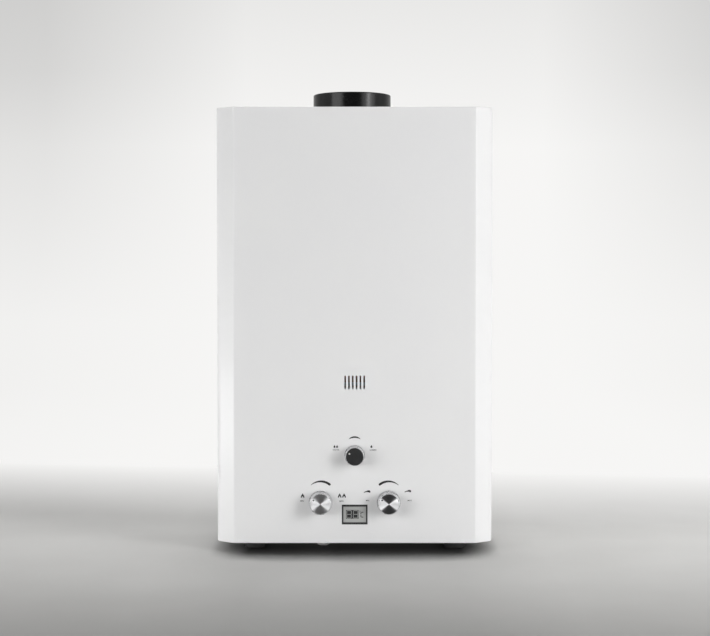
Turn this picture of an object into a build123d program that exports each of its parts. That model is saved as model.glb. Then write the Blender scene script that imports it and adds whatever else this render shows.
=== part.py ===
from build123d import *

import os
from math import cos, radians, sin, tan

os.makedirs("parts", exist_ok=True)

# Portable gas water heater: upright sheet-steel case, flue collar on top, three knobs and a
# display in front, pipe ends underneath. Millimetres, front towards -Y, floor at z = 0.

# ---------------------------------------------------------------- driving sizes
# case
case_width = 350
case_height = 550
case_depth = 150
facet_width = 22.5  # from each crease to the side, seen from the front
facet_angle = 36  # how far each facet turns back from the front
crease_radius = 3
corner_radius = 14
sheet = 1.0
hem_width = 9  # edge of the cover folded inwards, top and bottom
plate_recess = 14  # bottom plate above the lower edge of the case
plate_lip = 8
back_flange = 20
running_gap = 0.05  # radial, between a shaft and its bore
air_gap = 0.5  # between parts that must not rub

# feet
foot_reach = 12  # below the lower edge of the case
foot_radius = 13
foot_edge_radius = 4
foot_inset_x = 47  # from the sides of the case
foot_from_front = 36.5
foot_from_back = 25.5
foot_screw_radius = 2.5
foot_screw_head_radius = 5
foot_screw_head_height = 4
foot_bore_depth = 15

# flue
flue_radius = 50.3
flue_wall = 1.2
flue_height = 22.3
flue_x = -3.4
flue_from_front = 82
flue_flange_radius = 58
flue_rim_radius = 1.5
flue_lip = 3

# burner and heat exchanger stack
stack_side_room = 67
stack_from_front = 44.5
bracket_depth = 16.5
burner_height = 66
chamber_height = 145
exchanger_height = 60
stack_wall = 1.2
view_height = 17
view_width = 44
bar_count = 9
bar_width = 11
bar_margin = 9.3
bar_drop = 7
bar_top_radius = 3
bar_port_width = 3
bar_wall = 0.8
nozzle_radius = 3.5
nozzle_tip_radius = 2
fin_count = 9
fin_thickness = 1.0
water_tube_radius = 8
water_tube_margin = 6.8
water_tube_rows = 3
water_tube_end = 16
hood_neck_height = 18
hood_rim = 3

# view slots in the cover
slot_count = 6
slot_pitch = 4.8
slot_width = 2.0
slot_height = 17.3
slot_above_edge = 203.7

# knobs, heights above the lower edge of the case
knob_reach = 17
valve_knob_x = 43
valve_knob_above_edge = 51.9
season_knob_above_edge = 111.6
valve_knob_radius = 13.4
valve_knob_base_radius = 15
season_knob_radius = 11
season_knob_base_radius = 12.6
knob_base_height = 2.5
knob_taper = 3
knob_edge_radius = 0.8
cap_radius = 12.4
cap_thickness = 0.8
knob_bore_depth = 10
valve_spindle_radius = 4
season_spindle_radius = 3
spindle_hole_gap = 1.5
spindle_depth = 14
pointer_radius = 1.1
pointer_depth = 0.5
pointer_angle = 150
valve_pointer_offset = 9.9
season_pointer_offset = 7.6

# display
display_width = 32.5
display_height = 25.3
display_above_edge = 36.4
glass_width = 28.6
glass_height = 20
glass_recess = 1.4
glass_thickness = 1.5
bezel_flange = 3
bezel_depth = 6
board_thickness = 1.6

# gas and water valves
valve_from_front = 52.5
valve_body_depth = 44
valve_body_height = 40
valve_boss_radius = 10
valve_boss_length = 10
gas_body_beside_knob = 21
gas_body_beside_inlet = 12
water_body_beside_knob = 15
water_body_beside_inlet = 16
chamber_radius = 26
chamber_flange = 8
chamber_cover = 12
diaphragm_thickness = 1.5
rod_radius = 2.5
rod_plate_radius = 14
rod_plate_thickness = 2
rod_travel = 3
rod_in_gas_valve = 16
rod_collar_radius = 5.5
rod_collar_width = 4
solenoid_radius = 12
solenoid_length = 24
season_body_width = 40
season_body_depth = 30
season_body_height = 29
season_boss_radius = 7.5
season_boss_length = 8
riser_radius = 6
riser_from_edge = 6
manifold_overhang = 3
manifold_depth = 16
manifold_height = 18
manifold_edge_radius = 3
switch_ear = 1.2
lever_width = 12
lever_thickness = 0.8
lever_pin_radius = 0.8
lever_below_rod = 3
lever_room = 2.5

# pipes and pipe ends (G 1/2)
thread_radius = 10.48
thread_length = 21
port_from_front = 76.5
hot_from_side = 93
gas_from_knob = 23
cold_from_knob = 5
fitting_flange_radius = 14
fitting_flange_height = 6
hex_width = 24
hex_height = 8
pipe_radius = 7
pipe_bend = 11
pipe_wall = 1
pipe_rise = 28
pipe_from_side = 29
port_hole_gap = 0.6
small_pipe_radius = 4

# drain valve
drain_from_knob = 3
drain_from_front = 21.5
drain_stub_radius = 6
drain_body_radius = 9
drain_body_height = 20
drain_cap_radius = 9
drain_cap_bottom = 7
drain_cap_height = 16
drain_cap_wall = 2.4

# battery box
cell_radius = 16.5
cell_height = 61
cell_nub_radius = 4.5
cell_nub_height = 1.5
cell_gap = 0.3
box_wall = 1.6
battery_from_side = 65
door_thickness = 2.5
door_margin = 1.2
hinge_radius = 3
hinge_pin_radius = 1.5
hinge_lug_width = 4
hinge_lug_inset = 6

# electrics
controller_width = 58
controller_depth = 26
controller_height = 72
controller_margin = 3
controller_z = 92
electrode_radius = 1.5
electrode_spread = 34
ceramic_radius = 4
thermostat_radius = 8
thermostat_height = 6

# wall fixings and air slots
wall_hole_radius = 3.5
wall_hole_from_side = 60
wall_hole_from_end = 40
bracket_width = 30
bracket_height = 24
louvre_length = 40
louvre_height = 4
louvre_pitch = 12
louvre_rows = 5
screw_radius = 2
screw_head_radius = 3.5
screw_head_height = 1.2
screw_length = 6
screw_from_back = 10
screw_from_ends = 30

# ---------------------------------------------------------------- places that follow
front_y = -(case_depth - knob_reach) / 2
back_y = front_y + case_depth
inner_back_y = back_y - sheet
edge_z = foot_reach
top_z = edge_z + case_height
plate_z = edge_z + plate_recess  # underside of the bottom plate
plate_top_z = plate_z + sheet
top_plate_z = top_z - 2 * sheet  # underside of the top plate
inner_width = case_width - 2 * sheet
foot_spread_x = case_width - 2 * foot_inset_x
foot_front_y = front_y + foot_from_front
foot_rear_y = back_y - foot_from_back
wall_hole_spread_x = case_width - 2 * wall_hole_from_side
wall_hole_spread_z = case_height - 2 * wall_hole_from_end
stack_width = case_width - 2 * stack_side_room
stack_depth = case_depth - stack_from_front - bracket_depth - sheet
stack_front_y = front_y + stack_from_front
bar_pitch = (stack_width - 2 * stack_wall - 2 * bar_margin - bar_width) / (bar_count - 1)
water_tube_span = stack_depth - 2 * (stack_wall + water_tube_margin + water_tube_radius)
water_tube_pitch = water_tube_span / (water_tube_rows - 1)
water_tube_bend = 0.45 * water_tube_pitch
fin_pitch = (stack_width - 2 * stack_wall) / (fin_count + 1)
valve_y = front_y + valve_from_front
port_y = front_y + port_from_front
hot_x = -case_width / 2 + hot_from_side
gas_x = -valve_knob_x + gas_from_knob
cold_x = valve_knob_x + cold_from_knob
pipe_side_x = case_width / 2 - pipe_from_side
drain_x = -valve_knob_x + drain_from_knob
drain_y = front_y + drain_from_front
battery_x = case_width / 2 - battery_from_side
battery_y = (foot_front_y + foot_rear_y) / 2
controller_x = -inner_width / 2 + sheet + controller_margin + controller_width / 2
gas_body_left = -valve_knob_x - gas_body_beside_knob
gas_body_right = gas_x + gas_body_beside_inlet
water_body_left = valve_knob_x - water_body_beside_knob
water_body_right = cold_x + water_body_beside_inlet
flue_y = front_y + flue_from_front
knob_z = edge_z + valve_knob_above_edge
season_z = edge_z + season_knob_above_edge
season_body_z = season_z - season_body_height / 2
manifold_z = season_body_z + season_body_height
nozzle_z = manifold_z + manifold_height / 2
burner_z = nozzle_z - 2 * nozzle_radius
chamber_z = burner_z + burner_height
exchanger_z = chamber_z + chamber_height
hood_z = exchanger_z + exchanger_height
stack_y = stack_front_y + stack_depth / 2
stack_back_y = stack_front_y + stack_depth
display_z = edge_z + display_above_edge
slot_z = edge_z + slot_above_edge
valve_front_y = valve_y - valve_body_depth / 2
boss_front_y = valve_front_y - valve_boss_length

pieces = {}


def front_plane(y):
    """Upright plane across the case at y: sketches are seen from the front, +extrude comes forward."""
    return Plane.XZ.offset(-y)


def case_outline(inset=0.0, open_back=False):
    """Plan of the case, shrunk by inset: flat front, creased facets, rounded corners, straight sides."""
    half = case_width / 2
    flat = half - facet_width
    facet_y = front_y + (half - flat) * tan(radians(facet_angle))
    rear_y = back_y + (inset + sheet if open_back else 0)
    with BuildSketch() as outline:
        with BuildLine():
            Polyline(
                (-half, rear_y),
                (-half, facet_y),
                (-flat, front_y),
                (flat, front_y),
                (half, facet_y),
                (half, rear_y),
                close=True,
            )
        make_face()
        fillet(outline.vertices().group_by(Axis.Y)[1], corner_radius)
        fillet(outline.vertices().group_by(Axis.Y)[0], crease_radius)
        if inset:
            offset(amount=-inset)
    return outline.sketch


# ---------------------------------------------------------------- case
with BuildPart() as front_cover:
    with BuildSketch(Plane.XY.offset(edge_z)):
        add(case_outline())
    extrude(amount=case_height)
    # bends at the foot and the head of the cover, but not along its open back
    ends = front_cover.faces().group_by(Axis.Z)
    fold_lines = [line for face in ends[0] + ends[-1] for line in face.edges().sort_by(Axis.Y)[:-1]]
    fillet(fold_lines, sheet)
    with BuildSketch(Plane.XY.offset(edge_z + sheet)):
        add(case_outline(sheet, open_back=True))
    extrude(amount=case_height - 2 * sheet, mode=Mode.SUBTRACT)
    with BuildSketch(Plane.XY.offset(edge_z)):
        add(case_outline(sheet + hem_width, open_back=True))
    extrude(amount=case_height, mode=Mode.SUBTRACT)
    # row of view slots in front of the flame
    with BuildSketch(front_plane(front_y)):
        with Locations((0, slot_z)):
            with GridLocations(slot_pitch, 0, slot_count, 1):
                SlotOverall(slot_height, slot_width, rotation=90)
    extrude(amount=-sheet, mode=Mode.SUBTRACT)
    # spindle holes and display window
    with BuildSketch(front_plane(front_y)):
        with Locations((-valve_knob_x, knob_z), (valve_knob_x, knob_z)):
            Circle(valve_spindle_radius + spindle_hole_gap)
        with Locations((0, season_z)):
            Circle(season_spindle_radius + spindle_hole_gap)
        with Locations((0, display_z)):
            Rectangle(display_width, display_height)
    extrude(amount=-sheet, mode=Mode.SUBTRACT)
    # holes for the side screws
    with BuildSketch(Plane.YZ.offset(-case_width / 2)):
        with Locations((back_y - screw_from_back, edge_z + case_height / 2)):
            with GridLocations(0, case_height - 2 * screw_from_ends, 1, 2):
                Circle(screw_radius)
    extrude(amount=case_width, mode=Mode.SUBTRACT)
pieces["front_cover"] = front_cover.part

with BuildPart() as back_panel:
    with BuildSketch(front_plane(back_y)):
        with Locations((0, edge_z + case_height / 2)):
            Rectangle(inner_width, case_height - 2 * sheet)
    extrude(amount=sheet)
    flange_height = top_plate_z - plate_top_z
    with BuildSketch(front_plane(inner_back_y)):
        with Locations((0, plate_top_z + flange_height / 2)):
            Rectangle(inner_width, flange_height)
            Rectangle(inner_width - 2 * sheet, flange_height, mode=Mode.SUBTRACT)
    extrude(amount=back_flange)
    with BuildSketch(front_plane(back_y)):
        with Locations((0, edge_z + case_height / 2)):
            with GridLocations(wall_hole_spread_x, wall_hole_spread_z, 2, 2):
                Circle(wall_hole_radius)
    extrude(amount=sheet, mode=Mode.SUBTRACT)
    # air slots low down, behind the burner
    with BuildSketch(front_plane(back_y)):
        with Locations((0, burner_z)):
            with GridLocations(louvre_length + louvre_pitch, louvre_pitch, 3, louvre_rows):
                SlotOverall(louvre_length, louvre_height)
    extrude(amount=sheet, mode=Mode.SUBTRACT)
    with BuildSketch(Plane.YZ.offset(-inner_width / 2)):
        with Locations((back_y - screw_from_back, edge_z + case_height / 2)):
            with GridLocations(0, case_height - 2 * screw_from_ends, 1, 2):
                Circle(screw_radius)
    extrude(amount=inner_width, mode=Mode.SUBTRACT)
pieces["back_panel"] = back_panel.part

with BuildPart() as top_plate:
    with BuildSketch(Plane.XY.offset(top_plate_z)):
        add(case_outline(sheet))
        with Locations((flue_x, flue_y)):
            Circle(flue_radius - flue_wall, mode=Mode.SUBTRACT)
    extrude(amount=sheet)
pieces["top_plate"] = top_plate.part

box_inner_x = 4 * (cell_radius + cell_gap)
box_inner_y = 2 * (cell_radius + cell_gap)
hinge_y = battery_y + box_inner_y / 2 + box_wall + hinge_radius
hinge_z = plate_z - hinge_radius - air_gap
knuckle_length = box_inner_x - 2 * hinge_lug_inset
lug_spread = knuckle_length + 2 * air_gap + hinge_lug_width

with BuildPart() as bottom_plate:
    with BuildSketch(Plane.XY.offset(plate_z)):
        add(case_outline(sheet))
    extrude(amount=sheet)
    with BuildSketch(Plane.XY.offset(plate_z)):
        add(case_outline(sheet))
        add(case_outline(2 * sheet), mode=Mode.SUBTRACT)
    extrude(amount=-plate_lip)
    with BuildSketch(Plane.XY.offset(plate_z)):
        with Locations((hot_x, port_y), (gas_x, port_y), (cold_x, port_y)):
            Circle(thread_radius + port_hole_gap)
        with Locations((drain_x, drain_y)):
            Circle(drain_stub_radius + port_hole_gap)
        with Locations((battery_x, battery_y)):
            Rectangle(box_inner_x, box_inner_y)
        with Locations((0, (foot_front_y + foot_rear_y) / 2)):
            with GridLocations(foot_spread_x, foot_rear_y - foot_front_y, 2, 2):
                Circle(foot_screw_radius)
        # air slots under the burner
        with Locations((0, foot_rear_y)):
            with GridLocations(louvre_length + louvre_pitch, louvre_pitch, 3, 2):
                SlotOverall(louvre_length, louvre_height)
    extrude(amount=sheet, mode=Mode.SUBTRACT)
    # lugs that carry the pin of the battery door
    with BuildSketch(Plane.YZ.offset(battery_x)):
        with Locations((hinge_y, hinge_z)):
            Circle(hinge_radius)
        with Locations((hinge_y, (hinge_z + plate_z) / 2)):
            Rectangle(2 * hinge_radius, plate_z - hinge_z)
        with Locations((hinge_y, hinge_z)):
            Circle(hinge_pin_radius, mode=Mode.SUBTRACT)
    extrude(amount=(lug_spread + hinge_lug_width) / 2, both=True)
    with BuildSketch(Plane.YZ.offset(battery_x)):
        with Locations((hinge_y, (hinge_z + plate_z) / 2 - hinge_radius)):
            Rectangle(2 * hinge_radius, plate_z - hinge_z + 2 * hinge_radius)
    extrude(amount=(lug_spread - hinge_lug_width) / 2, both=True, mode=Mode.SUBTRACT)
pieces["bottom_plate"] = bottom_plate.part

foot_height = plate_z
for side, foot_x in (("left", -foot_spread_x / 2), ("right", foot_spread_x / 2)):
    for end, foot_y in (("front", foot_front_y), ("rear", foot_rear_y)):
        with BuildPart() as foot:
            with BuildSketch(Plane.XY):
                with Locations((foot_x, foot_y)):
                    Circle(foot_radius)
            extrude(amount=foot_height)
            fillet(foot.edges().group_by(Axis.Z)[0], foot_edge_radius)
            with BuildSketch(Plane.XY):
                with Locations((foot_x, foot_y)):
                    Circle(foot_screw_head_radius)
            extrude(amount=foot_bore_depth, mode=Mode.SUBTRACT)
            with BuildSketch(Plane.XY):
                with Locations((foot_x, foot_y)):
                    Circle(foot_screw_radius)
            extrude(amount=foot_height, mode=Mode.SUBTRACT)
        pieces[f"foot_{end}_{side}"] = foot.part

with BuildPart() as foot_screws:
    with BuildSketch(Plane.XY.offset(foot_bore_depth)):
        with Locations((0, (foot_front_y + foot_rear_y) / 2)):
            with GridLocations(foot_spread_x, foot_rear_y - foot_front_y, 2, 2):
                Circle(foot_screw_head_radius)
    extrude(amount=-foot_screw_head_height)
    with BuildSketch(Plane.XY.offset(foot_bore_depth)):
        with Locations((0, (foot_front_y + foot_rear_y) / 2)):
            with GridLocations(foot_spread_x, foot_rear_y - foot_front_y, 2, 2):
                Circle(foot_screw_radius)
    extrude(amount=plate_top_z + foot_screw_head_height - foot_bore_depth)
pieces["foot_screws"] = foot_screws.part

with BuildPart() as case_screws:
    for head_x, inward in ((-case_width / 2, 1), (case_width / 2, -1)):
        with BuildSketch(Plane.YZ.offset(head_x)):
            with Locations((back_y - screw_from_back, edge_z + case_height / 2)):
                with GridLocations(0, case_height - 2 * screw_from_ends, 1, 2):
                    Circle(screw_head_radius)
        extrude(amount=-inward * screw_head_height)
        with BuildSketch(Plane.YZ.offset(head_x)):
            with Locations((back_y - screw_from_back, edge_z + case_height / 2)):
                with GridLocations(0, case_height - 2 * screw_from_ends, 1, 2):
                    Circle(screw_radius)
        extrude(amount=inward * screw_length)
pieces["case_screws"] = case_screws.part

# ---------------------------------------------------------------- flue
with BuildPart() as flue_flange:
    with BuildSketch(Plane.XY.offset(top_z - sheet)):
        with Locations((flue_x, flue_y)):
            Circle(flue_flange_radius)
            Circle(flue_radius - flue_wall, mode=Mode.SUBTRACT)
    extrude(amount=sheet)
pieces["flue_flange"] = flue_flange.part

with BuildPart() as flue_collar:
    bore_x = flue_x + flue_radius - flue_wall
    rim_z = top_z + flue_height
    with BuildSketch(Plane.XZ.offset(-flue_y)) as collar_profile:
        with BuildLine():
            Polyline(
                (bore_x, top_z),
                (flue_x + flue_radius, top_z),
                (flue_x + flue_radius, rim_z),
                (bore_x - flue_lip, rim_z),
                (bore_x - flue_lip, rim_z - flue_wall),
                (bore_x, rim_z - flue_wall),
                close=True,
            )
        make_face()
        rim_corner = collar_profile.vertices().group_by(Axis.Y)[-1].sort_by(Axis.X)[-1]
        fillet(rim_corner, flue_rim_radius)
    revolve(axis=Axis((flue_x, flue_y, 0), (0, 0, 1)))
pieces["flue_collar"] = flue_collar.part


def hood_shape(inset):
    """Hood from the heat exchanger up to the round neck, shrunk by inset."""
    neck_radius = flue_radius - flue_wall - inset
    hood_top_z = top_plate_z - hood_neck_height
    top_side = 2 * (flue_radius + hood_rim - inset)
    with BuildPart() as shape:
        with BuildSketch(Plane.XY.offset(hood_z)):
            with Locations((0, stack_y)):
                Rectangle(stack_width - 2 * inset, stack_depth - 2 * inset)
        with BuildSketch(Plane.XY.offset(hood_top_z - inset)):
            with Locations((flue_x, flue_y)):
                Rectangle(top_side, top_side)
        loft(ruled=True)
        with BuildSketch(Plane.XY.offset(hood_top_z - inset)):
            with Locations((flue_x, flue_y)):
                Circle(neck_radius)
        extrude(amount=hood_neck_height + inset)
    return shape.part


with BuildPart() as fume_hood:
    add(hood_shape(0))
    add(hood_shape(stack_wall), mode=Mode.SUBTRACT)
pieces["fume_hood"] = fume_hood.part


# ---------------------------------------------------------------- combustion stack
def stack_shell(z, height):
    """Open rectangular duct of the burner and exchanger stack."""
    with BuildPart() as duct:
        with BuildSketch(Plane.XY.offset(z)):
            with Locations((0, stack_y)):
                Rectangle(stack_width, stack_depth)
                Rectangle(
                    stack_width - 2 * stack_wall,
                    stack_depth - 2 * stack_wall,
                    mode=Mode.SUBTRACT,
                )
        extrude(amount=height)
    return duct.part


tube_z = exchanger_z + exchanger_height / 2
with BuildPart() as exchanger_shell:
    add(stack_shell(exchanger_z, exchanger_height))
    with BuildSketch(Plane.YZ.offset(-stack_width / 2)):
        with Locations((stack_y, tube_z)):
            with GridLocations(water_tube_pitch, 0, water_tube_rows, 1):
                Circle(water_tube_radius)
    extrude(amount=stack_width, mode=Mode.SUBTRACT)
pieces["exchanger_shell"] = exchanger_shell.part

# one water tube to and fro through the fins, front row first
front_row_y = stack_y - water_tube_pitch
rear_row_y = stack_y + water_tube_pitch
bend_x = stack_width / 2 + water_tube_end
with BuildPart() as water_coil:
    with BuildLine() as coil_route:
        FilletPolyline(
            (stack_width / 2, front_row_y, tube_z),
            (-bend_x, front_row_y, tube_z),
            (-bend_x, stack_y, tube_z),
            (bend_x, stack_y, tube_z),
            (bend_x, rear_row_y, tube_z),
            (-stack_width / 2, rear_row_y, tube_z),
            radius=water_tube_bend,
        )
    with BuildSketch(Plane(origin=coil_route.line @ 0, z_dir=coil_route.line % 0)):
        Circle(water_tube_radius)
        Circle(water_tube_radius - pipe_wall, mode=Mode.SUBTRACT)
    sweep()
pieces["water_coil"] = water_coil.part

with BuildPart() as exchanger_fins:
    with BuildSketch(Plane.YZ) as fin_profile:
        with Locations((stack_y, tube_z)):
            Rectangle(stack_depth - 2 * stack_wall, exchanger_height - 2 * stack_wall)
            with GridLocations(water_tube_pitch, 0, water_tube_rows, 1):
                Circle(water_tube_radius, mode=Mode.SUBTRACT)
    first_fin_x = -(fin_count - 1) / 2 * fin_pitch - fin_thickness / 2
    for index in range(fin_count):
        with BuildSketch(Plane.YZ.offset(first_fin_x + index * fin_pitch)):
            add(fin_profile.sketch_local)
        extrude(amount=fin_thickness)
pieces["exchanger_fins"] = exchanger_fins.part

with BuildPart() as combustion_chamber:
    add(stack_shell(chamber_z, chamber_height))
    with BuildSketch(front_plane(stack_front_y)):
        with Locations((0, slot_z)):
            Rectangle(view_width, view_height)
            with GridLocations(2 * electrode_spread, 0, 2, 1):
                Circle(ceramic_radius)
    extrude(amount=-stack_wall, mode=Mode.SUBTRACT)
pieces["combustion_chamber"] = combustion_chamber.part

with BuildPart() as burner_frame:
    add(stack_shell(burner_z, burner_height))
    with BuildSketch(front_plane(stack_front_y)):
        with Locations((0, nozzle_z)):
            with GridLocations(bar_pitch, 0, bar_count, 1):
                Circle(nozzle_radius + air_gap)
    extrude(amount=-stack_wall, mode=Mode.SUBTRACT)
pieces["burner_frame"] = burner_frame.part

# hollow sheet bars, open to the nozzles in front and slotted along the top
with BuildPart() as burner_bars:
    bar_height = burner_height - bar_drop
    with BuildSketch(front_plane(stack_back_y - stack_wall)) as bar_profile:
        with Locations((0, burner_z + bar_height / 2)):
            with GridLocations(bar_pitch, 0, bar_count, 1):
                Rectangle(bar_width, bar_height)
        fillet(bar_profile.vertices().group_by(Axis.Y)[-1], bar_top_radius)
        offset(amount=-bar_wall, mode=Mode.SUBTRACT)
        with Locations((0, burner_z + bar_height)):
            with GridLocations(bar_pitch, 0, bar_count, 1):
                Rectangle(bar_port_width, bar_drop, mode=Mode.SUBTRACT)
    extrude(amount=stack_depth - 2 * stack_wall)
pieces["burner_bars"] = burner_bars.part

# folded brackets that hold the stack to the back panel
with BuildPart() as stack_brackets:
    for bracket_z in (burner_z, exchanger_z):
        with BuildSketch(Plane.XY.offset(bracket_z)):
            with Locations((0, stack_back_y + bracket_depth / 2)):
                with GridLocations(stack_width - bracket_width, 0, 2, 1):
                    Rectangle(bracket_width, bracket_depth)
                    Rectangle(
                        bracket_width - 2 * stack_wall,
                        bracket_depth - 2 * stack_wall,
                        mode=Mode.SUBTRACT,
                    )
        extrude(amount=bracket_height)
pieces["stack_brackets"] = stack_brackets.part

# ---------------------------------------------------------------- gas way
season_body_y = stack_front_y - manifold_depth / 2 - 2 * nozzle_radius
manifold_front_y = stack_front_y - 2 * nozzle_radius - manifold_depth
season_front_y = season_body_y - season_body_depth / 2

with BuildPart() as gas_manifold:
    with BuildSketch(Plane.YZ.offset(-stack_width / 2 - manifold_overhang)) as manifold_profile:
        with Locations((manifold_front_y + manifold_depth / 2, manifold_z + manifold_height / 2)):
            RectangleRounded(manifold_depth, manifold_height, manifold_edge_radius)
    extrude(amount=stack_width + 2 * manifold_overhang)
pieces["gas_manifold"] = gas_manifold.part

with BuildPart() as burner_nozzles:
    with BuildSketch(front_plane(manifold_front_y + manifold_depth)):
        with Locations((0, nozzle_z)):
            with GridLocations(bar_pitch, 0, bar_count, 1):
                Circle(nozzle_radius)
    extrude(amount=-2 * nozzle_radius)
    with BuildSketch(front_plane(stack_front_y)):
        with Locations((0, nozzle_z)):
            with GridLocations(bar_pitch, 0, bar_count, 1):
                Circle(nozzle_tip_radius)
    extrude(amount=-nozzle_radius)
pieces["burner_nozzles"] = burner_nozzles.part

with BuildPart() as season_valve:
    with BuildSketch(Plane.XY.offset(season_body_z)):
        with Locations((0, season_body_y)):
            RectangleRounded(season_body_width, season_body_depth, 4)
    extrude(amount=season_body_height)
    with BuildSketch(front_plane(season_front_y)):
        with Locations((0, season_z)):
            Circle(season_boss_radius)
    extrude(amount=season_boss_length)
    with BuildSketch(front_plane(season_front_y - season_boss_length)):
        with Locations((0, season_z)):
            Circle(season_spindle_radius + running_gap)
    extrude(amount=-spindle_depth - air_gap, mode=Mode.SUBTRACT)
pieces["season_valve"] = season_valve.part

valve_body_z = knob_z - valve_body_height / 2
valve_top_z = knob_z + valve_body_height / 2
riser_y = (valve_front_y + season_body_y + season_body_depth / 2) / 2
with BuildPart() as gas_riser:
    with BuildSketch(Plane.XY.offset(valve_top_z)):
        with Locations((gas_body_right - riser_from_edge, riser_y)):
            Circle(riser_radius)
    extrude(amount=season_body_z - valve_top_z)
pieces["gas_riser"] = gas_riser.part


def valve_casting(left, right, boss_x):
    """Rounded valve block with a bored boss for its spindle."""
    with BuildPart() as casting:
        with BuildSketch(Plane.XY.offset(valve_body_z)):
            with Locations(((left + right) / 2, valve_y)):
                RectangleRounded(right - left, valve_body_depth, 5)
        extrude(amount=valve_body_height)
        with BuildSketch(front_plane(valve_front_y)):
            with Locations((boss_x, knob_z)):
                Circle(valve_boss_radius)
        extrude(amount=valve_boss_length)
        with BuildSketch(front_plane(boss_front_y)):
            with Locations((boss_x, knob_z)):
                Circle(valve_spindle_radius + running_gap)
        extrude(amount=-spindle_depth - air_gap, mode=Mode.SUBTRACT)
    return casting.part


rod_y = valve_y + valve_body_depth / 4
with BuildPart() as gas_valve:
    add(valve_casting(gas_body_left, gas_body_right, -valve_knob_x))
    with BuildSketch(Plane.YZ.offset(gas_body_right)):
        with Locations((rod_y, knob_z)):
            Circle(rod_radius + running_gap)
    extrude(amount=-rod_in_gas_valve - rod_travel - air_gap, mode=Mode.SUBTRACT)
pieces["gas_valve"] = gas_valve.part

with BuildPart() as gas_solenoid:
    with BuildSketch(Plane.YZ.offset(gas_body_left)):
        with Locations((valve_y - solenoid_radius / 2, knob_z)):
            Circle(solenoid_radius)
    extrude(amount=-solenoid_length)
    fillet(gas_solenoid.edges().group_by(Axis.X)[0], 2)
pieces["gas_solenoid"] = gas_solenoid.part

# ---------------------------------------------------------------- water way
with BuildPart() as water_valve:
    add(valve_casting(water_body_left, water_body_right, valve_knob_x))
    with BuildSketch(Plane.YZ.offset(water_body_left)):
        with Locations((rod_y, knob_z)):
            Circle(chamber_radius)
    extrude(amount=-chamber_flange)
pieces["water_valve"] = water_valve.part

chamber_x = water_body_left - chamber_flange
with BuildPart() as diaphragm:
    with BuildSketch(Plane.YZ.offset(chamber_x)):
        with Locations((rod_y, knob_z)):
            Circle(chamber_radius)
    extrude(amount=-diaphragm_thickness)
pieces["diaphragm"] = diaphragm.part

cover_x = chamber_x - diaphragm_thickness
plate_clearance = 2 * air_gap + rod_travel
with BuildPart() as diaphragm_cover:
    with BuildSketch(Plane.YZ.offset(cover_x)):
        with Locations((rod_y, knob_z)):
            Circle(chamber_radius)
    extrude(amount=-chamber_cover)
    with BuildSketch(Plane.YZ.offset(cover_x)):
        with Locations((rod_y, knob_z)):
            Circle(rod_plate_radius + 2 * air_gap)
    extrude(amount=-rod_plate_thickness - plate_clearance, mode=Mode.SUBTRACT)
    with BuildSketch(Plane.YZ.offset(cover_x)):
        with Locations((rod_y, knob_z)):
            Circle(rod_radius + running_gap)
    extrude(amount=-chamber_cover, mode=Mode.SUBTRACT)
pieces["diaphragm_cover"] = diaphragm_cover.part

plate_x = cover_x - air_gap
collar_x = (gas_body_right + cover_x - chamber_cover + rod_travel) / 2
with BuildPart() as push_rod:
    with BuildSketch(Plane.YZ.offset(plate_x)):
        with Locations((rod_y, knob_z)):
            Circle(rod_plate_radius)
    extrude(amount=-rod_plate_thickness)
    with BuildSketch(Plane.YZ.offset(plate_x)):
        with Locations((rod_y, knob_z)):
            Circle(rod_radius)
    extrude(amount=gas_body_right - rod_in_gas_valve - plate_x)
    with BuildSketch(Plane.YZ.offset(collar_x - rod_collar_width / 2)):
        with Locations((rod_y, knob_z)):
            Circle(rod_collar_radius)
    extrude(amount=rod_collar_width)
pieces["push_rod"] = push_rod.part

# micro-switch over the rod: its forked lever follows the rod collar
lever_x = collar_x + rod_collar_width / 2 + air_gap
switch_z = knob_z + rod_collar_radius + lever_room
pin_z = switch_z - lever_room / 2
switch_left = gas_body_right + air_gap
switch_right = lever_x + lever_thickness + switch_ear
with BuildPart() as flow_switch:
    with BuildSketch(Plane.XY.offset(switch_z)):
        with Locations(((switch_left + switch_right) / 2, rod_y)):
            Rectangle(switch_right - switch_left, lever_width + 2 * switch_ear)
    extrude(amount=valve_top_z - switch_z)
    with BuildSketch(front_plane(rod_y)):
        with Locations((lever_x, pin_z)):
            Rectangle(3 * switch_ear, lever_room)
            Circle(lever_pin_radius + running_gap, mode=Mode.SUBTRACT)
    extrude(amount=lever_width / 2 + switch_ear, both=True)
    with BuildSketch(front_plane(rod_y)):
        with Locations((lever_x, pin_z)):
            Rectangle(3 * switch_ear, lever_room)
    extrude(amount=lever_width / 2 + running_gap, both=True, mode=Mode.SUBTRACT)
pieces["flow_switch"] = flow_switch.part

with BuildPart() as switch_lever:
    with BuildSketch(Plane.YZ.offset(lever_x)):
        with Locations((rod_y, (pin_z + knob_z - lever_below_rod) / 2)):
            Rectangle(lever_width, pin_z - knob_z + lever_below_rod)
        with Locations((rod_y, knob_z - lever_below_rod / 2)):
            Rectangle(3 * rod_radius, 3 * rod_radius + lever_below_rod, mode=Mode.SUBTRACT)
    extrude(amount=lever_thickness)
    with BuildSketch(front_plane(rod_y)):
        with Locations((lever_x, pin_z)):
            Circle(lever_pin_radius)
    extrude(amount=lever_width / 2 + switch_ear, both=True)
pieces["switch_lever"] = switch_lever.part

with BuildPart() as switch_bracket:
    with BuildSketch(Plane.XY.offset(valve_top_z)):
        with Locations((gas_body_right, rod_y)):
            Rectangle(2 * (switch_right - gas_body_right), lever_width + 2 * switch_ear)
    extrude(amount=sheet)
pieces["switch_bracket"] = switch_bracket.part


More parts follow.
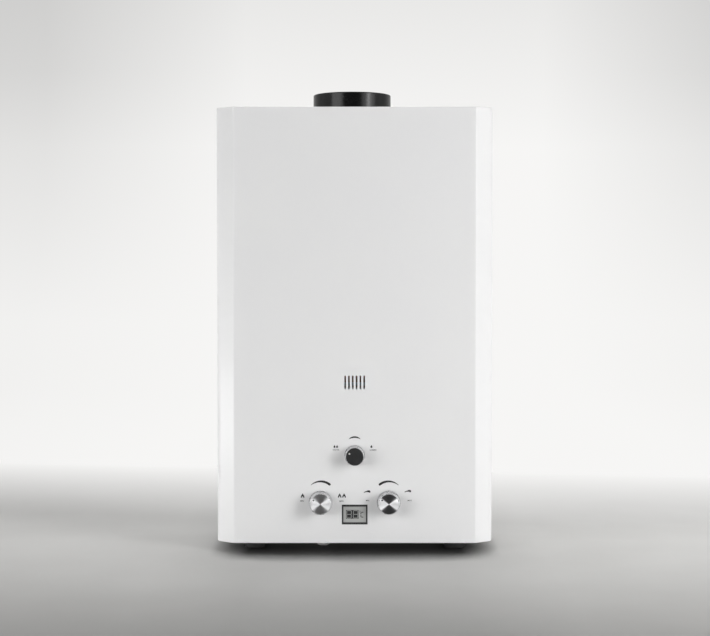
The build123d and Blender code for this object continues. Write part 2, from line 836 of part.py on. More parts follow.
def pipe_end(x, neck_top_z):
    """Threaded pipe end: plain nipple under the plate, flange on it, hexagon and neck above."""
    flange_top_z = plate_top_z + fitting_flange_height
    with BuildPart() as end:
        for radius, low_z, high_z in (
            (thread_radius, plate_z - thread_length, plate_z),
            (thread_radius + port_hole_gap / 2, plate_z, plate_top_z),
            (fitting_flange_radius, plate_top_z, flange_top_z),
            (thread_radius - 1, flange_top_z, neck_top_z),
        ):
            with BuildSketch(Plane.XY.offset(low_z)):
                with Locations((x, port_y)):
                    Circle(radius)
            extrude(amount=high_z - low_z)
        with BuildSketch(Plane.XY.offset(flange_top_z)):
            with Locations((x, port_y)):
                RegularPolygon(hex_width / 2, 6, major_radius=False)
        extrude(amount=min(hex_height, neck_top_z - flange_top_z))
        with BuildSketch(Plane.XY.offset(plate_z - thread_length)):
            with Locations((x, port_y)):
                Circle(pipe_radius)
        extrude(amount=thread_length, mode=Mode.SUBTRACT)
    return end.part


hot_fitting_top = plate_top_z + fitting_flange_height + hex_height + 4
pieces["hot_outlet"] = pipe_end(hot_x, hot_fitting_top)
pieces["gas_inlet"] = pipe_end(gas_x, valve_body_z)
pieces["cold_inlet"] = pipe_end(cold_x, valve_body_z)


def bent_pipe(points, radius, bend):
    """Round pipe along straight runs with rounded turns."""
    with BuildPart() as pipe:
        with BuildLine() as route:
            FilletPolyline(*points, radius=bend)
        with BuildSketch(Plane(origin=route.line @ 0, z_dir=route.line % 0)):
            Circle(radius)
            Circle(radius - pipe_wall, mode=Mode.SUBTRACT)
        sweep()
    return pipe.part


pieces["cold_pipe"] = bent_pipe(
    [
        (cold_x + pipe_radius, valve_y, valve_top_z),
        (cold_x + pipe_radius, valve_y, valve_top_z + pipe_rise),
        (pipe_side_x, valve_y, valve_top_z + pipe_rise),
        (pipe_side_x, valve_y, tube_z - pipe_rise),
        (pipe_side_x, front_row_y, tube_z),
        (stack_width / 2, front_row_y, tube_z),
    ],
    pipe_radius,
    pipe_bend,
)
pieces["hot_pipe"] = bent_pipe(
    [
        (hot_x, port_y, hot_fitting_top),
        (hot_x, port_y, hot_fitting_top + pipe_rise),
        (-pipe_side_x, port_y, hot_fitting_top + pipe_rise),
        (-pipe_side_x, port_y, tube_z - pipe_rise),
        (-pipe_side_x, rear_row_y, tube_z),
        (-stack_width / 2, rear_row_y, tube_z),
    ],
    pipe_radius,
    pipe_bend,
)

# ---------------------------------------------------------------- drain valve
drain_pipe_z = plate_top_z + drain_body_height / 2
with BuildPart() as drain_valve:
    with BuildSketch(Plane.XY.offset(plate_top_z)):
        with Locations((drain_x, drain_y)):
            Circle(drain_body_radius)
    extrude(amount=drain_body_height)
    stub_bottom = drain_cap_bottom + drain_cap_wall + air_gap
    with BuildSketch(Plane.XY.offset(stub_bottom)):
        with Locations((drain_x, drain_y)):
            Circle(drain_stub_radius)
    extrude(amount=plate_top_z - stub_bottom)
pieces["drain_valve"] = drain_valve.part

with BuildPart() as drain_cap:
    with BuildSketch(Plane.XY.offset(drain_cap_bottom)):
        with Locations((drain_x, drain_y)):
            Circle(drain_cap_radius)
    extrude(amount=drain_cap_height)
    chamfer(drain_cap.edges().group_by(Axis.Z)[0], drain_cap_wall)
    with BuildSketch(Plane.XY.offset(drain_cap_bottom + drain_cap_wall)):
        with Locations((drain_x, drain_y)):
            Circle(drain_stub_radius + running_gap)
    extrude(amount=drain_cap_height, mode=Mode.SUBTRACT)
pieces["drain_cap"] = drain_cap.part

pieces["drain_pipe"] = bent_pipe(
    [
        (hot_x, port_y - hex_width / 2, drain_pipe_z),
        (hot_x, drain_y, drain_pipe_z),
        (drain_x - drain_body_radius, drain_y, drain_pipe_z),
    ],
    small_pipe_radius,
    2 * small_pipe_radius,
)

# ---------------------------------------------------------------- battery box
cell_top_z = plate_top_z + cell_height + cell_nub_height
with BuildPart() as battery_box:
    with BuildSketch(Plane.XY.offset(plate_top_z)):
        with Locations((battery_x, battery_y)):
            Rectangle(box_inner_x + 2 * box_wall, box_inner_y + 2 * box_wall)
    extrude(amount=cell_top_z + box_wall - plate_top_z)
    with BuildSketch(Plane.XY.offset(plate_top_z)):
        with Locations((battery_x, battery_y)):
            Rectangle(box_inner_x, box_inner_y)
    extrude(amount=cell_top_z - plate_top_z, mode=Mode.SUBTRACT)
pieces["battery_box"] = battery_box.part

with BuildPart() as batteries:
    with BuildSketch(Plane.XY.offset(plate_top_z)):
        with Locations((battery_x, battery_y)):
            with GridLocations(box_inner_x / 2, 0, 2, 1):
                Circle(cell_radius)
    extrude(amount=cell_height)
    with BuildSketch(Plane.XY.offset(plate_top_z + cell_height)):
        with Locations((battery_x, battery_y)):
            with GridLocations(box_inner_x / 2, 0, 2, 1):
                Circle(cell_nub_radius)
    extrude(amount=cell_nub_height)
pieces["batteries"] = batteries.part

with BuildPart() as hinge_pin:
    with BuildSketch(Plane.YZ.offset(battery_x)):
        with Locations((hinge_y, hinge_z)):
            Circle(hinge_pin_radius)
    extrude(amount=(lug_spread + hinge_lug_width) / 2, both=True)
pieces["hinge_pin"] = hinge_pin.part

door_width = box_inner_x + 2 * door_margin
door_depth = box_inner_y + 2 * door_margin
with BuildPart() as battery_door:
    with BuildSketch(Plane.XY.offset(plate_z - air_gap)):
        with Locations((battery_x, battery_y)):
            RectangleRounded(door_width, door_depth, hinge_radius)
    extrude(amount=-door_thickness)
    # knuckle round the pin, with the web that joins it to the lid
    with BuildSketch(Plane.YZ.offset(battery_x)):
        with Locations((hinge_y, hinge_z)):
            Circle(hinge_radius)
        with Locations(((battery_y + hinge_y) / 2, plate_z - air_gap - door_thickness / 2)):
            Rectangle(hinge_y - battery_y, door_thickness)
        with Locations((hinge_y, hinge_z)):
            Circle(hinge_pin_radius + running_gap, mode=Mode.SUBTRACT)
    extrude(amount=knuckle_length / 2, both=True)
    # grip rib along the free edge
    with BuildSketch(Plane.XY.offset(plate_z - air_gap - door_thickness)):
        with Locations((battery_x, battery_y - door_depth / 2 + 2 * door_thickness)):
            SlotOverall(door_width / 3, door_thickness)
    extrude(amount=-door_thickness / 2)
pieces["battery_door"] = battery_door.part


# ---------------------------------------------------------------- knobs and spindles
def knob_shape(x, z, radius, base_radius, bore_radius, recess, pointer_offset):
    """Turned knob: base ring, tapered grip, spindle bore, recess for a metal cap or a pointer dot."""
    back = front_y - air_gap
    face = front_y - knob_reach
    with BuildPart() as knob:
        with BuildSketch(front_plane(back)):
            with Locations((x, z)):
                Circle(base_radius)
        extrude(amount=knob_base_height)
        with BuildSketch(front_plane(back)):
            with Locations((x, z)):
                Circle(radius + (back - face) * tan(radians(knob_taper)))
        extrude(amount=back - face, taper=knob_taper)
        fillet(knob.edges().group_by(Axis.Y)[0], knob_edge_radius)
        with BuildSketch(front_plane(back)):
            with Locations((x, z)):
                Circle(bore_radius)
        extrude(amount=knob_bore_depth, mode=Mode.SUBTRACT)
        with BuildSketch(front_plane(face)):
            if recess:
                with Locations((x, z)):
                    Circle(cap_radius)
            else:
                angle = radians(pointer_angle)
                with Locations((x + pointer_offset * cos(angle), z + pointer_offset * sin(angle))):
                    Circle(pointer_radius)
        extrude(amount=-(cap_thickness if recess else pointer_depth), mode=Mode.SUBTRACT)
    return knob.part


def cap_shape(x, z):
    """Metal disc in the face of a knob, with a sunk pointer dot."""
    angle = radians(pointer_angle)
    face = front_y - knob_reach
    with BuildPart() as cap:
        with BuildSketch(front_plane(face)):
            with Locations((x, z)):
                Circle(cap_radius)
        extrude(amount=-cap_thickness)
        with BuildSketch(front_plane(face)):
            with Locations(
                (x + valve_pointer_offset * cos(angle), z + valve_pointer_offset * sin(angle))
            ):
                Circle(pointer_radius)
        extrude(amount=-pointer_depth, mode=Mode.SUBTRACT)
    return cap.part


def spindle_shape(x, z, radius, boss_face_y):
    """Spindle from its valve out into the knob."""
    knob_end = front_y - air_gap - knob_bore_depth
    with BuildPart() as spindle:
        with BuildSketch(front_plane(boss_face_y + spindle_depth)):
            with Locations((x, z)):
                Circle(radius)
        extrude(amount=boss_face_y + spindle_depth - knob_end)
    return spindle.part


for name, knob_x in (("gas", -valve_knob_x), ("water", valve_knob_x)):
    pieces[f"{name}_knob"] = knob_shape(
        knob_x,
        knob_z,
        valve_knob_radius,
        valve_knob_base_radius,
        valve_spindle_radius,
        True,
        valve_pointer_offset,
    )
    pieces[f"{name}_knob_cap"] = cap_shape(knob_x, knob_z)
    pieces[f"{name}_spindle"] = spindle_shape(
        knob_x, knob_z, valve_spindle_radius, boss_front_y
    )
pieces["season_knob"] = knob_shape(
    0,
    season_z,
    season_knob_radius,
    season_knob_base_radius,
    season_spindle_radius,
    False,
    season_pointer_offset,
)
pieces["season_spindle"] = spindle_shape(
    0, season_z, season_spindle_radius, season_front_y - season_boss_length
)

# ---------------------------------------------------------------- display
with BuildPart() as display_bezel:
    with BuildSketch(front_plane(front_y + bezel_depth)):
        with Locations((0, display_z)):
            Rectangle(display_width, display_height)
            Rectangle(glass_width, glass_height, mode=Mode.SUBTRACT)
    extrude(amount=bezel_depth - glass_recess / 2)
    with BuildSketch(front_plane(front_y + bezel_depth)):
        with Locations((0, display_z)):
            Rectangle(display_width + 2 * bezel_flange, display_height + 2 * bezel_flange)
            Rectangle(glass_width, glass_height, mode=Mode.SUBTRACT)
    extrude(amount=bezel_depth - sheet)
pieces["display_bezel"] = display_bezel.part

with BuildPart() as display_glass:
    with BuildSketch(front_plane(front_y + glass_recess)):
        with Locations((0, display_z)):
            Rectangle(glass_width, glass_height)
    extrude(amount=-glass_thickness)
pieces["display_glass"] = display_glass.part

with BuildPart() as display_board:
    with BuildSketch(front_plane(front_y + bezel_depth)):
        with Locations((0, display_z)):
            Rectangle(display_width + 2 * bezel_flange, display_height + 2 * bezel_flange)
    extrude(amount=-board_thickness)
pieces["display_board"] = display_board.part

# ---------------------------------------------------------------- electrics
with BuildPart() as controller_box:
    with BuildSketch(front_plane(inner_back_y)):
        with Locations((controller_x, controller_z + controller_height / 2)):
            RectangleRounded(controller_width, controller_height, 4)
    extrude(amount=controller_depth)
    fillet(controller_box.faces().group_by(Axis.Y)[0].edges(), 1.5)
pieces["controller_box"] = controller_box.part

for name, rod_x in (("igniter_electrode", -electrode_spread), ("flame_sensor", electrode_spread)):
    with BuildPart() as electrode:
        with BuildSketch(front_plane(stack_front_y + stack_wall)):
            with Locations((rod_x, slot_z)):
                Circle(ceramic_radius)
        extrude(amount=3 * ceramic_radius)
        with BuildSketch(front_plane(stack_front_y + stack_wall)):
            with Locations((rod_x, slot_z)):
                Circle(electrode_radius)
        extrude(amount=-stack_depth / 3)
    pieces[name] = electrode.part

with BuildPart() as overheat_switch:
    with BuildSketch(Plane.YZ.offset(stack_width / 2)):
        with Locations((stack_y + water_tube_pitch, exchanger_z - 2 * thermostat_radius)):
            Circle(thermostat_radius)
    extrude(amount=thermostat_height)
pieces["overheat_switch"] = overheat_switch.part

# ---------------------------------------------------------------- files
for name, piece in pieces.items():
    piece.label = name
    export_step(piece, f"parts/{name}.step")
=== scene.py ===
"""Tankless gas water heater: finishes and fine detail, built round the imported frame.

Every size below is in metres unless its name ends in _mm. X runs to the right seen from the
front, the front faces -Y, and the floor is z = 0.
"""

import logging
import math
from abc import ABC, abstractmethod
from dataclasses import dataclass, field
from enum import Enum

import bmesh
import bpy
from mathutils import Matrix, Vector


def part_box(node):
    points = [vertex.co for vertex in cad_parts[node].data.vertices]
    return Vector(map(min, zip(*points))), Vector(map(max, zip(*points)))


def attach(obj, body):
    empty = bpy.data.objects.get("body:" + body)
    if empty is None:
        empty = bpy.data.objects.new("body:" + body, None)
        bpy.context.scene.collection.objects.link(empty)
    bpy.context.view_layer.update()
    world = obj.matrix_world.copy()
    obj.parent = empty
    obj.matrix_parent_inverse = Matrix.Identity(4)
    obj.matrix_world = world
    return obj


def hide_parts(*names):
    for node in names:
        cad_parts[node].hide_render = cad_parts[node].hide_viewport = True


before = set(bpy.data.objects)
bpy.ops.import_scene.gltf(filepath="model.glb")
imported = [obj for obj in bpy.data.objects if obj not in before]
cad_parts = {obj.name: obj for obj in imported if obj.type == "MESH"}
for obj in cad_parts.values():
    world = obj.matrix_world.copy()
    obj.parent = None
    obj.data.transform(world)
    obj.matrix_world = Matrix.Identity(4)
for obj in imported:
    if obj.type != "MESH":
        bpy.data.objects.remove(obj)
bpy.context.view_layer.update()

LOG = logging.getLogger("water_heater")
MM = 0.001
Colour = tuple[float, float, float]
Point = tuple[float, float]


# ------------------------------------------------------------------ shader trees
class Grain(Enum):
    """How the fine relief of a finish runs."""

    PEBBLE = (1.0, 1.0, 1.0)
    ALONG_X = (0.03, 1.0, 1.0)
    ALONG_Z = (1.0, 1.0, 0.03)


class ShaderTree:
    """Node tree of one finish, with short calls for the nodes that finishes share."""

    def __init__(self, name: str) -> None:
        """Start a material of that name with one shader and its output."""
        self.material = bpy.data.materials.new(name)
        self.material.use_nodes = True
        self.nodes = self.material.node_tree.nodes
        self.links = self.material.node_tree.links
        self.nodes.clear()
        self.output = self.nodes.new("ShaderNodeOutputMaterial")
        self.shader = self.nodes.new("ShaderNodeBsdfPrincipled")
        self.links.new(self.shader.outputs["BSDF"], self.output.inputs["Surface"])
        self.place = self.nodes.new("ShaderNodeTexCoord").outputs["Object"]

    def constant(self, **values: float) -> None:
        """Set constants on the shader's own sockets; underscores stand for spaces."""
        for label, value in values.items():
            self.shader.inputs[label.replace("_", " ")].default_value = value

    def drive(self, label: str, source: bpy.types.NodeSocket) -> None:
        """Link a varying value to one of the shader's sockets."""
        self.links.new(source, self.shader.inputs[label])

    def stretched(self, grain: Grain, centre: Colour = (0.0, 0.0, 0.0)) -> bpy.types.NodeSocket:
        """Object coordinates, moved to a centre and stretched along a grain.

        Args:
            grain: the direction in which the pattern is drawn out.
            centre: the point of the object that the pattern starts from.

        Returns:
            The socket with the coordinates.
        """
        mapping = self.nodes.new("ShaderNodeMapping")
        mapping.vector_type = "POINT"
        mapping.inputs["Scale"].default_value = grain.value
        mapping.inputs["Location"].default_value = [-c * s for c, s in zip(centre, grain.value)]
        self.links.new(self.place, mapping.inputs["Vector"])
        return mapping.outputs["Vector"]

    def noise(
        self, size: float, grain: Grain = Grain.PEBBLE, detail: float = 3.0, roughness: float = 0.55
    ) -> bpy.types.NodeSocket:
        """Soft noise whose patches are about size metres across.

        Args:
            size: width of a patch.
            grain: the direction in which the patches are drawn out.
            detail: number of finer layers.
            roughness: strength of the finer layers.

        Returns:
            The noise's factor.
        """
        texture = self.nodes.new("ShaderNodeTexNoise")
        texture.inputs["Scale"].default_value = 1.0 / size
        texture.inputs["Detail"].default_value = detail
        texture.inputs["Roughness"].default_value = roughness
        self.links.new(self.stretched(grain), texture.inputs["Vector"])
        return texture.outputs["Fac"]

    def cells(self, size: float, feature: str = "F1") -> bpy.types.NodeSocket:
        """Cells of about size metres; returns the random value of each, or the distance to its edge."""
        texture = self.nodes.new("ShaderNodeTexVoronoi")
        texture.feature = feature
        texture.inputs["Scale"].default_value = 1.0 / size
        self.links.new(self.place, texture.inputs["Vector"])
        return texture.outputs["Distance" if feature == "DISTANCE_TO_EDGE" else "Color"]

    def span(
        self, source: bpy.types.NodeSocket, low: float, high: float, start: float = 0.0, end: float = 1.0
    ) -> bpy.types.NodeSocket:
        """Map a value onto a new range, clamped.

        Args:
            source: the value.
            low: value of the source that gives start.
            high: value of the source that gives end.
            start: lower result.
            end: upper result.

        Returns:
            The mapped value.
        """
        ranger = self.nodes.new("ShaderNodeMapRange")
        for label, value in (("From Min", low), ("From Max", high), ("To Min", start), ("To Max", end)):
            ranger.inputs[label].default_value = value
        self.links.new(source, ranger.inputs["Value"])
        return ranger.outputs["Result"]

    def blend(self, factor: bpy.types.NodeSocket, first: object, second: object) -> bpy.types.NodeSocket:
        """Mix two colours, each a colour or a socket, by a factor."""
        mixer = self.nodes.new("ShaderNodeMix")
        mixer.data_type = "RGBA"
        self.links.new(factor, mixer.inputs["Factor"])
        for socket, value in ((mixer.inputs[6], first), (mixer.inputs[7], second)):
            if isinstance(value, tuple):
                socket.default_value = (*value, 1.0)
            else:
                self.links.new(value, socket)
        return mixer.outputs[2]

    def maths(self, operation: str, first: object, second: object) -> bpy.types.NodeSocket:
        """One arithmetic step on two values, each a number or a socket."""
        step = self.nodes.new("ShaderNodeMath")
        step.operation = operation
        for socket, value in zip(step.inputs, (first, second)):
            if isinstance(value, (int, float)):
                socket.default_value = value
            else:
                self.links.new(value, socket)
        return step.outputs["Value"]

    def axis(self, label: str) -> bpy.types.NodeSocket:
        """One coordinate of the object's own place: X, Y or Z."""
        split = self.nodes.new("ShaderNodeSeparateXYZ")
        self.links.new(self.place, split.inputs["Vector"])
        return split.outputs[label]

    def edges(self, radius: float) -> bpy.types.NodeSocket:
        """Mask that is 1 along sharp edges and fades over about radius metres."""
        bevel = self.nodes.new("ShaderNodeBevel")
        bevel.samples = 4
        bevel.inputs["Radius"].default_value = radius
        facing = self.nodes.new("ShaderNodeVectorMath")
        facing.operation = "DOT_PRODUCT"
        geometry = self.nodes.new("ShaderNodeNewGeometry")
        self.links.new(bevel.outputs["Normal"], facing.inputs[0])
        self.links.new(geometry.outputs["Normal"], facing.inputs[1])
        return self.span(facing.outputs["Value"], 0.985, 0.80)

    def relief(self, height: bpy.types.NodeSocket, depth: float, strength: float = 1.0) -> None:
        """Raise the surface by a height map, depth metres from 0 to 1, over any relief set before.

        Args:
            height: the height map.
            depth: its full height.
            strength: share of it that shows.
        """
        bump = self.nodes.new("ShaderNodeBump")
        bump.inputs["Distance"].default_value = depth
        bump.inputs["Strength"].default_value = strength
        self.links.new(height, bump.inputs["Height"])
        before = self.shader.inputs["Normal"].links
        if before:
            self.links.new(before[0].from_socket, bump.inputs["Normal"])
        self.links.new(bump.outputs["Normal"], self.shader.inputs["Normal"])


# ------------------------------------------------------------------ finishes
@dataclass(frozen=True)
class Finish:
    """A surface finish: two shades in soft patches, a grain, and edges that have seen handling."""

    slot: str
    colour: Colour
    shade: Colour
    metallic: float = 0.0
    roughness: float = 0.45
    swing: float = 0.08
    patch: float = 0.03
    grain: Grain = Grain.PEBBLE
    grain_size: float = 0.0012
    grain_depth: float = 0.00002
    edge_colour: Colour | None = None
    edge_radius: float = 0.0006
    edge_share: float = 0.5

    def material(self) -> bpy.types.Material:
        """Build the finish's material."""
        tree = ShaderTree(f"{self.slot}_finish")
        tree.constant(Metallic=self.metallic)
        tree.drive("Base Color", self.tone(tree))
        tree.drive("Roughness", self.gloss(tree))
        self.texture(tree)
        return tree.material

    def tone(self, tree: ShaderTree) -> bpy.types.NodeSocket:
        """Colour: soft patches of the two shades, a finer mottle, and the worn edge."""
        patches = tree.span(tree.noise(self.patch, detail=4.0), 0.35, 0.65)
        mottle = tree.span(tree.noise(self.grain_size * 3.0, self.grain), 0.3, 0.7)
        share = tree.maths("ADD", tree.maths("MULTIPLY", patches, 0.7), tree.maths("MULTIPLY", mottle, 0.3))
        colour = tree.blend(share, self.colour, self.shade)
        if self.edge_colour:
            broken = tree.span(tree.noise(0.0025, detail=5.0), 0.42, 0.6)
            worn = tree.maths("MULTIPLY", tree.edges(self.edge_radius), broken)
            colour = tree.blend(tree.maths("MULTIPLY", worn, self.edge_share), colour, self.edge_colour)
        return colour

    def gloss(self, tree: ShaderTree) -> bpy.types.NodeSocket:
        """Roughness, swinging softly about its mean."""
        smear = tree.noise(self.patch * 0.6, self.grain, detail=4.0)
        return tree.span(smear, 0.3, 0.7, self.roughness - self.swing, self.roughness + self.swing)

    def texture(self, tree: ShaderTree) -> None:
        """Fine relief along the grain."""
        tree.relief(tree.noise(self.grain_size, self.grain, detail=4.0), self.grain_depth)


@dataclass(frozen=True)
class PowderCoat(Finish):
    """Stoved powder coat: orange-peel waves under a thin gloss."""

    coat: float = 0.25
    specular: float = 0.5

    def texture(self, tree: ShaderTree) -> None:
        """Shallow waves a few millimetres long with a finer peel on them."""
        tree.constant(Coat_Weight=self.coat, Coat_Roughness=0.12, Specular_IOR_Level=self.specular)
        tree.relief(tree.noise(0.011, detail=1.0), 0.00004, 0.5)
        tree.relief(tree.noise(self.grain_size, detail=2.0), self.grain_depth)


@dataclass(frozen=True)
class Spangle(Finish):
    """Hot-dip zinc on rolled sheet: faint crystals and rolling streaks."""

    crystal: float = 0.009

    def tone(self, tree: ShaderTree) -> bpy.types.NodeSocket:
        """The base tone with each crystal a little lighter or darker."""
        base = super().tone(tree)
        grey = tree.nodes.new("ShaderNodeSeparateColor")
        tree.links.new(tree.cells(self.crystal), grey.inputs["Color"])
        share = tree.span(grey.outputs["Red"], 0.0, 1.0, 0.0, 0.3)
        return tree.blend(share, base, self.shade)


@dataclass(frozen=True)
class SpunFace(Finish):
    """Turned metal disc: fine rings about its own centre, and a painted reflection: its colour darker in the
    sectors above and below the axis.
    """

    centre: Colour = (0.0, 0.0, 0.0)
    ring_pitch: float = 0.00022
    # Colour of the painted reflection in the sectors above and below the axis.
    painted_reflection_shade: Colour = (0.3, 0.3, 0.3)

    def reach(self, tree: ShaderTree) -> tuple[bpy.types.NodeSocket, bpy.types.NodeSocket]:
        """Distance from the disc's axis, and the share of it that runs up or down."""
        mapping = tree.nodes.new("ShaderNodeMapping")
        mapping.inputs["Location"].default_value = [-self.centre[0], 0.0, -self.centre[2]]
        mapping.inputs["Scale"].default_value = (1.0, 0.0, 1.0)
        tree.links.new(tree.place, mapping.inputs["Vector"])
        length = tree.nodes.new("ShaderNodeVectorMath")
        length.operation = "LENGTH"
        tree.links.new(mapping.outputs["Vector"], length.inputs[0])
        split = tree.nodes.new("ShaderNodeSeparateXYZ")
        tree.links.new(mapping.outputs["Vector"], split.inputs["Vector"])
        upright = tree.maths("DIVIDE", split.outputs["Z"], length.outputs["Value"])
        return length.outputs["Value"], tree.maths("ABSOLUTE", upright, 0.0)

    def tone(self, tree: ShaderTree) -> bpy.types.NodeSocket:
        """Painted reflection: bright to both sides and darker in the sectors above and below the axis; it
        turns with the disc.
        """
        return tree.blend(tree.span(self.reach(tree)[1], 0.53, 0.70), super().tone(tree), self.painted_reflection_shade)

    def texture(self, tree: ShaderTree) -> None:
        """Rings about the disc's axis, which runs front to back."""
        tree.constant(Anisotropic=1.0, Anisotropic_Rotation=0.25)
        around = tree.nodes.new("ShaderNodeTangent")
        around.direction_type = "RADIAL"
        around.axis = "Y"
        tree.drive("Tangent", around.outputs["Tangent"])
        turns = tree.maths("MULTIPLY", self.reach(tree)[0], 2.0 * math.pi / self.ring_pitch)
        rings = tree.maths("SINE", turns, 0.0)
        tree.relief(tree.span(rings, -1.0, 1.0), self.grain_depth)


@dataclass(frozen=True)
class HeatTint(Finish):
    """Steel that a flame has coloured: straw and blue bands over the grey."""

    hot: Colour = (0.30, 0.22, 0.14)

    def tone(self, tree: ShaderTree) -> bpy.types.NodeSocket:
        """The base tone, tinted in long soft patches."""
        share = tree.span(tree.noise(0.04, Grain.ALONG_X), 0.4, 0.7, 0.0, 0.6)
        return tree.blend(share, super().tone(tree), self.hot)


FINISHES: tuple[Finish, ...] = (
    PowderCoat("cover_paint", (0.80, 0.80, 0.80), (0.785, 0.785, 0.79), roughness=0.36, swing=0.03,
               patch=0.09, grain_size=0.0016, grain_depth=0.000006),
    Spangle("zinc_steel", (0.58, 0.59, 0.60), (0.47, 0.48, 0.50), metallic=0.9, roughness=0.42,
            grain=Grain.ALONG_Z, grain_size=0.0015, edge_colour=(0.75, 0.76, 0.78)),
    PowderCoat("collar_enamel", (0.005, 0.005, 0.005), (0.008, 0.008, 0.008), roughness=0.21,
               swing=0.03, patch=0.02, grain_depth=0.000006, coat=0.0, specular=0.24),
    Finish("rubber", (0.018, 0.018, 0.018), (0.032, 0.031, 0.030), roughness=0.72,
           grain_size=0.0006, grain_depth=0.00004, edge_colour=(0.06, 0.06, 0.06)),
    Finish("screw_steel", (0.60, 0.60, 0.61), (0.50, 0.50, 0.52), metallic=1.0, roughness=0.32,
           patch=0.006, grain_size=0.0005, edge_colour=(0.75, 0.75, 0.76)),
    Finish("copper", (0.70, 0.37, 0.24), (0.45, 0.22, 0.14), metallic=1.0, roughness=0.34, swing=0.1,
           patch=0.03, grain=Grain.ALONG_Z, edge_colour=(0.85, 0.50, 0.35)),
    HeatTint("burner_steel", (0.50, 0.50, 0.50), (0.36, 0.35, 0.35), metallic=0.9, roughness=0.45,
             grain=Grain.ALONG_X, grain_size=0.0008),
    Finish("brass", (0.72, 0.53, 0.26), (0.52, 0.37, 0.17), metallic=1.0, roughness=0.33, swing=0.1,
           patch=0.012, grain_size=0.0007, edge_colour=(0.88, 0.70, 0.42)),
    Finish("cast_aluminium", (0.62, 0.63, 0.64), (0.48, 0.49, 0.50), metallic=0.85, roughness=0.55,
           patch=0.02, grain_size=0.0012, grain_depth=0.00012, edge_colour=(0.8, 0.8, 0.81)),
    Finish("black_plastic", (0.020, 0.020, 0.021), (0.030, 0.030, 0.031), roughness=0.5,
           grain_size=0.0005, grain_depth=0.00003, edge_colour=(0.07, 0.07, 0.07)),
    Finish("knob_black", (0.016, 0.016, 0.017), (0.024, 0.024, 0.025), roughness=0.38,
           patch=0.008, grain_size=0.0005, grain_depth=0.00001, edge_colour=(0.05, 0.05, 0.05)),
    Finish("knob_grip", (0.66, 0.66, 0.67), (0.58, 0.58, 0.59), metallic=0.55, roughness=0.3,
           patch=0.01, grain_size=0.0006, grain_depth=0.000006),
    Finish("white_plastic", (0.76, 0.76, 0.74), (0.70, 0.70, 0.68), roughness=0.42,
           grain_size=0.0008, grain_depth=0.00001, edge_colour=(0.82, 0.82, 0.80)),
    Finish("display_panel", (0.47, 0.475, 0.465), (0.43, 0.435, 0.425), roughness=0.24, swing=0.04,
           grain_size=0.0004, grain_depth=0.000002),
    Finish("circuit_board", (0.02, 0.10, 0.05), (0.03, 0.15, 0.08), roughness=0.4,
           grain_size=0.0008, grain_depth=0.00003),
    Finish("cell_wrap", (0.10, 0.10, 0.11), (0.42, 0.30, 0.16), roughness=0.3, patch=0.05,
           grain=Grain.ALONG_X, grain_size=0.002),
    Finish("electrode_ceramic", (0.74, 0.72, 0.68), (0.66, 0.63, 0.58), roughness=0.4,
           patch=0.004, grain_size=0.0004),
)


# ------------------------------------------------------------------ geometry node trees
class ShapeTree:
    """A Geometry Nodes tree with named sizes, run on a holder and taken as one plain mesh."""

    def __init__(self, name: str) -> None:
        """Start an empty tree with a geometry input and output."""
        self.tree = bpy.data.node_groups.new(name, "GeometryNodeTree")
        for way in ("INPUT", "OUTPUT"):
            self.tree.interface.new_socket("Geometry", in_out=way, socket_type="NodeSocketGeometry")
        self.start = self.tree.nodes.new("NodeGroupInput")
        self.end = self.tree.nodes.new("NodeGroupOutput")
        self.inputs: dict[str, object] = {}

    def size(self, label: str, value: object, kind: str = "NodeSocketFloat") -> bpy.types.NodeSocket:
        """Add a named input and the value that it is run with.

        Args:
            label: the input's name.
            value: what the modifier gives it.
            kind: the socket's type.

        Returns:
            The input's socket inside the tree.
        """
        item = self.tree.interface.new_socket(label, in_out="INPUT", socket_type=kind)
        self.inputs[item.identifier] = value
        return self.start.outputs[label]

    def node(self, kind: str, **values: object) -> bpy.types.Node:
        """Add a node; a value names an input (underscores for spaces), a socket is linked to it."""
        made = self.tree.nodes.new(kind)
        for label, value in values.items():
            socket = made.inputs[label.replace("_", " ")]
            if isinstance(value, bpy.types.NodeSocket):
                self.tree.links.new(value, socket)
            else:
                socket.default_value = value
        return made

    def maths(self, operation: str, first: object, second: object) -> bpy.types.NodeSocket:
        """One arithmetic step on two values, each a number or a socket."""
        made = self.tree.nodes.new("ShaderNodeMath")
        made.operation = operation
        for socket, value in zip(made.inputs, (first, second)):
            if isinstance(value, bpy.types.NodeSocket):
                self.tree.links.new(value, socket)
            else:
                socket.default_value = value
        return made.outputs["Value"]

    def run(
        self, name: str, shape: bpy.types.NodeSocket, material: bpy.types.Material,
        holder: bpy.types.Mesh | None = None,
    ) -> bpy.types.Object:
        """End the tree, run it once and keep its result as a plain mesh object.

        Args:
            name: name of the finished object.
            shape: the geometry that the tree ends with.
            material: what it is set to.
            holder: mesh that the tree starts from, if it needs one.

        Returns:
            The finished object, linked to the scene, without a modifier.
        """
        real = self.node("GeometryNodeRealizeInstances", Geometry=shape)
        dressed = self.node("GeometryNodeSetMaterial", Geometry=real.outputs["Geometry"], Material=material)
        self.tree.links.new(dressed.outputs["Geometry"], self.end.inputs["Geometry"])
        carrier = bpy.data.objects.new(f"{name}_carrier", holder or bpy.data.meshes.new(f"{name}_start"))
        bpy.context.scene.collection.objects.link(carrier)
        modifier = carrier.modifiers.new("shape", "NODES")
        modifier.node_group = self.tree
        for identifier, value in self.inputs.items():
            modifier[identifier] = value
        graph = bpy.context.evaluated_depsgraph_get()
        mesh = bpy.data.meshes.new_from_object(carrier.evaluated_get(graph))
        bpy.data.objects.remove(carrier)
        mesh.name = name
        made = bpy.data.objects.new(name, mesh)
        bpy.context.scene.collection.objects.link(made)
        return made


# ------------------------------------------------------------------ plain mesh helpers
def centre_of(node: str) -> Vector:
    """Middle of a solid's box."""
    low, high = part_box(node)
    return (low + high) / 2


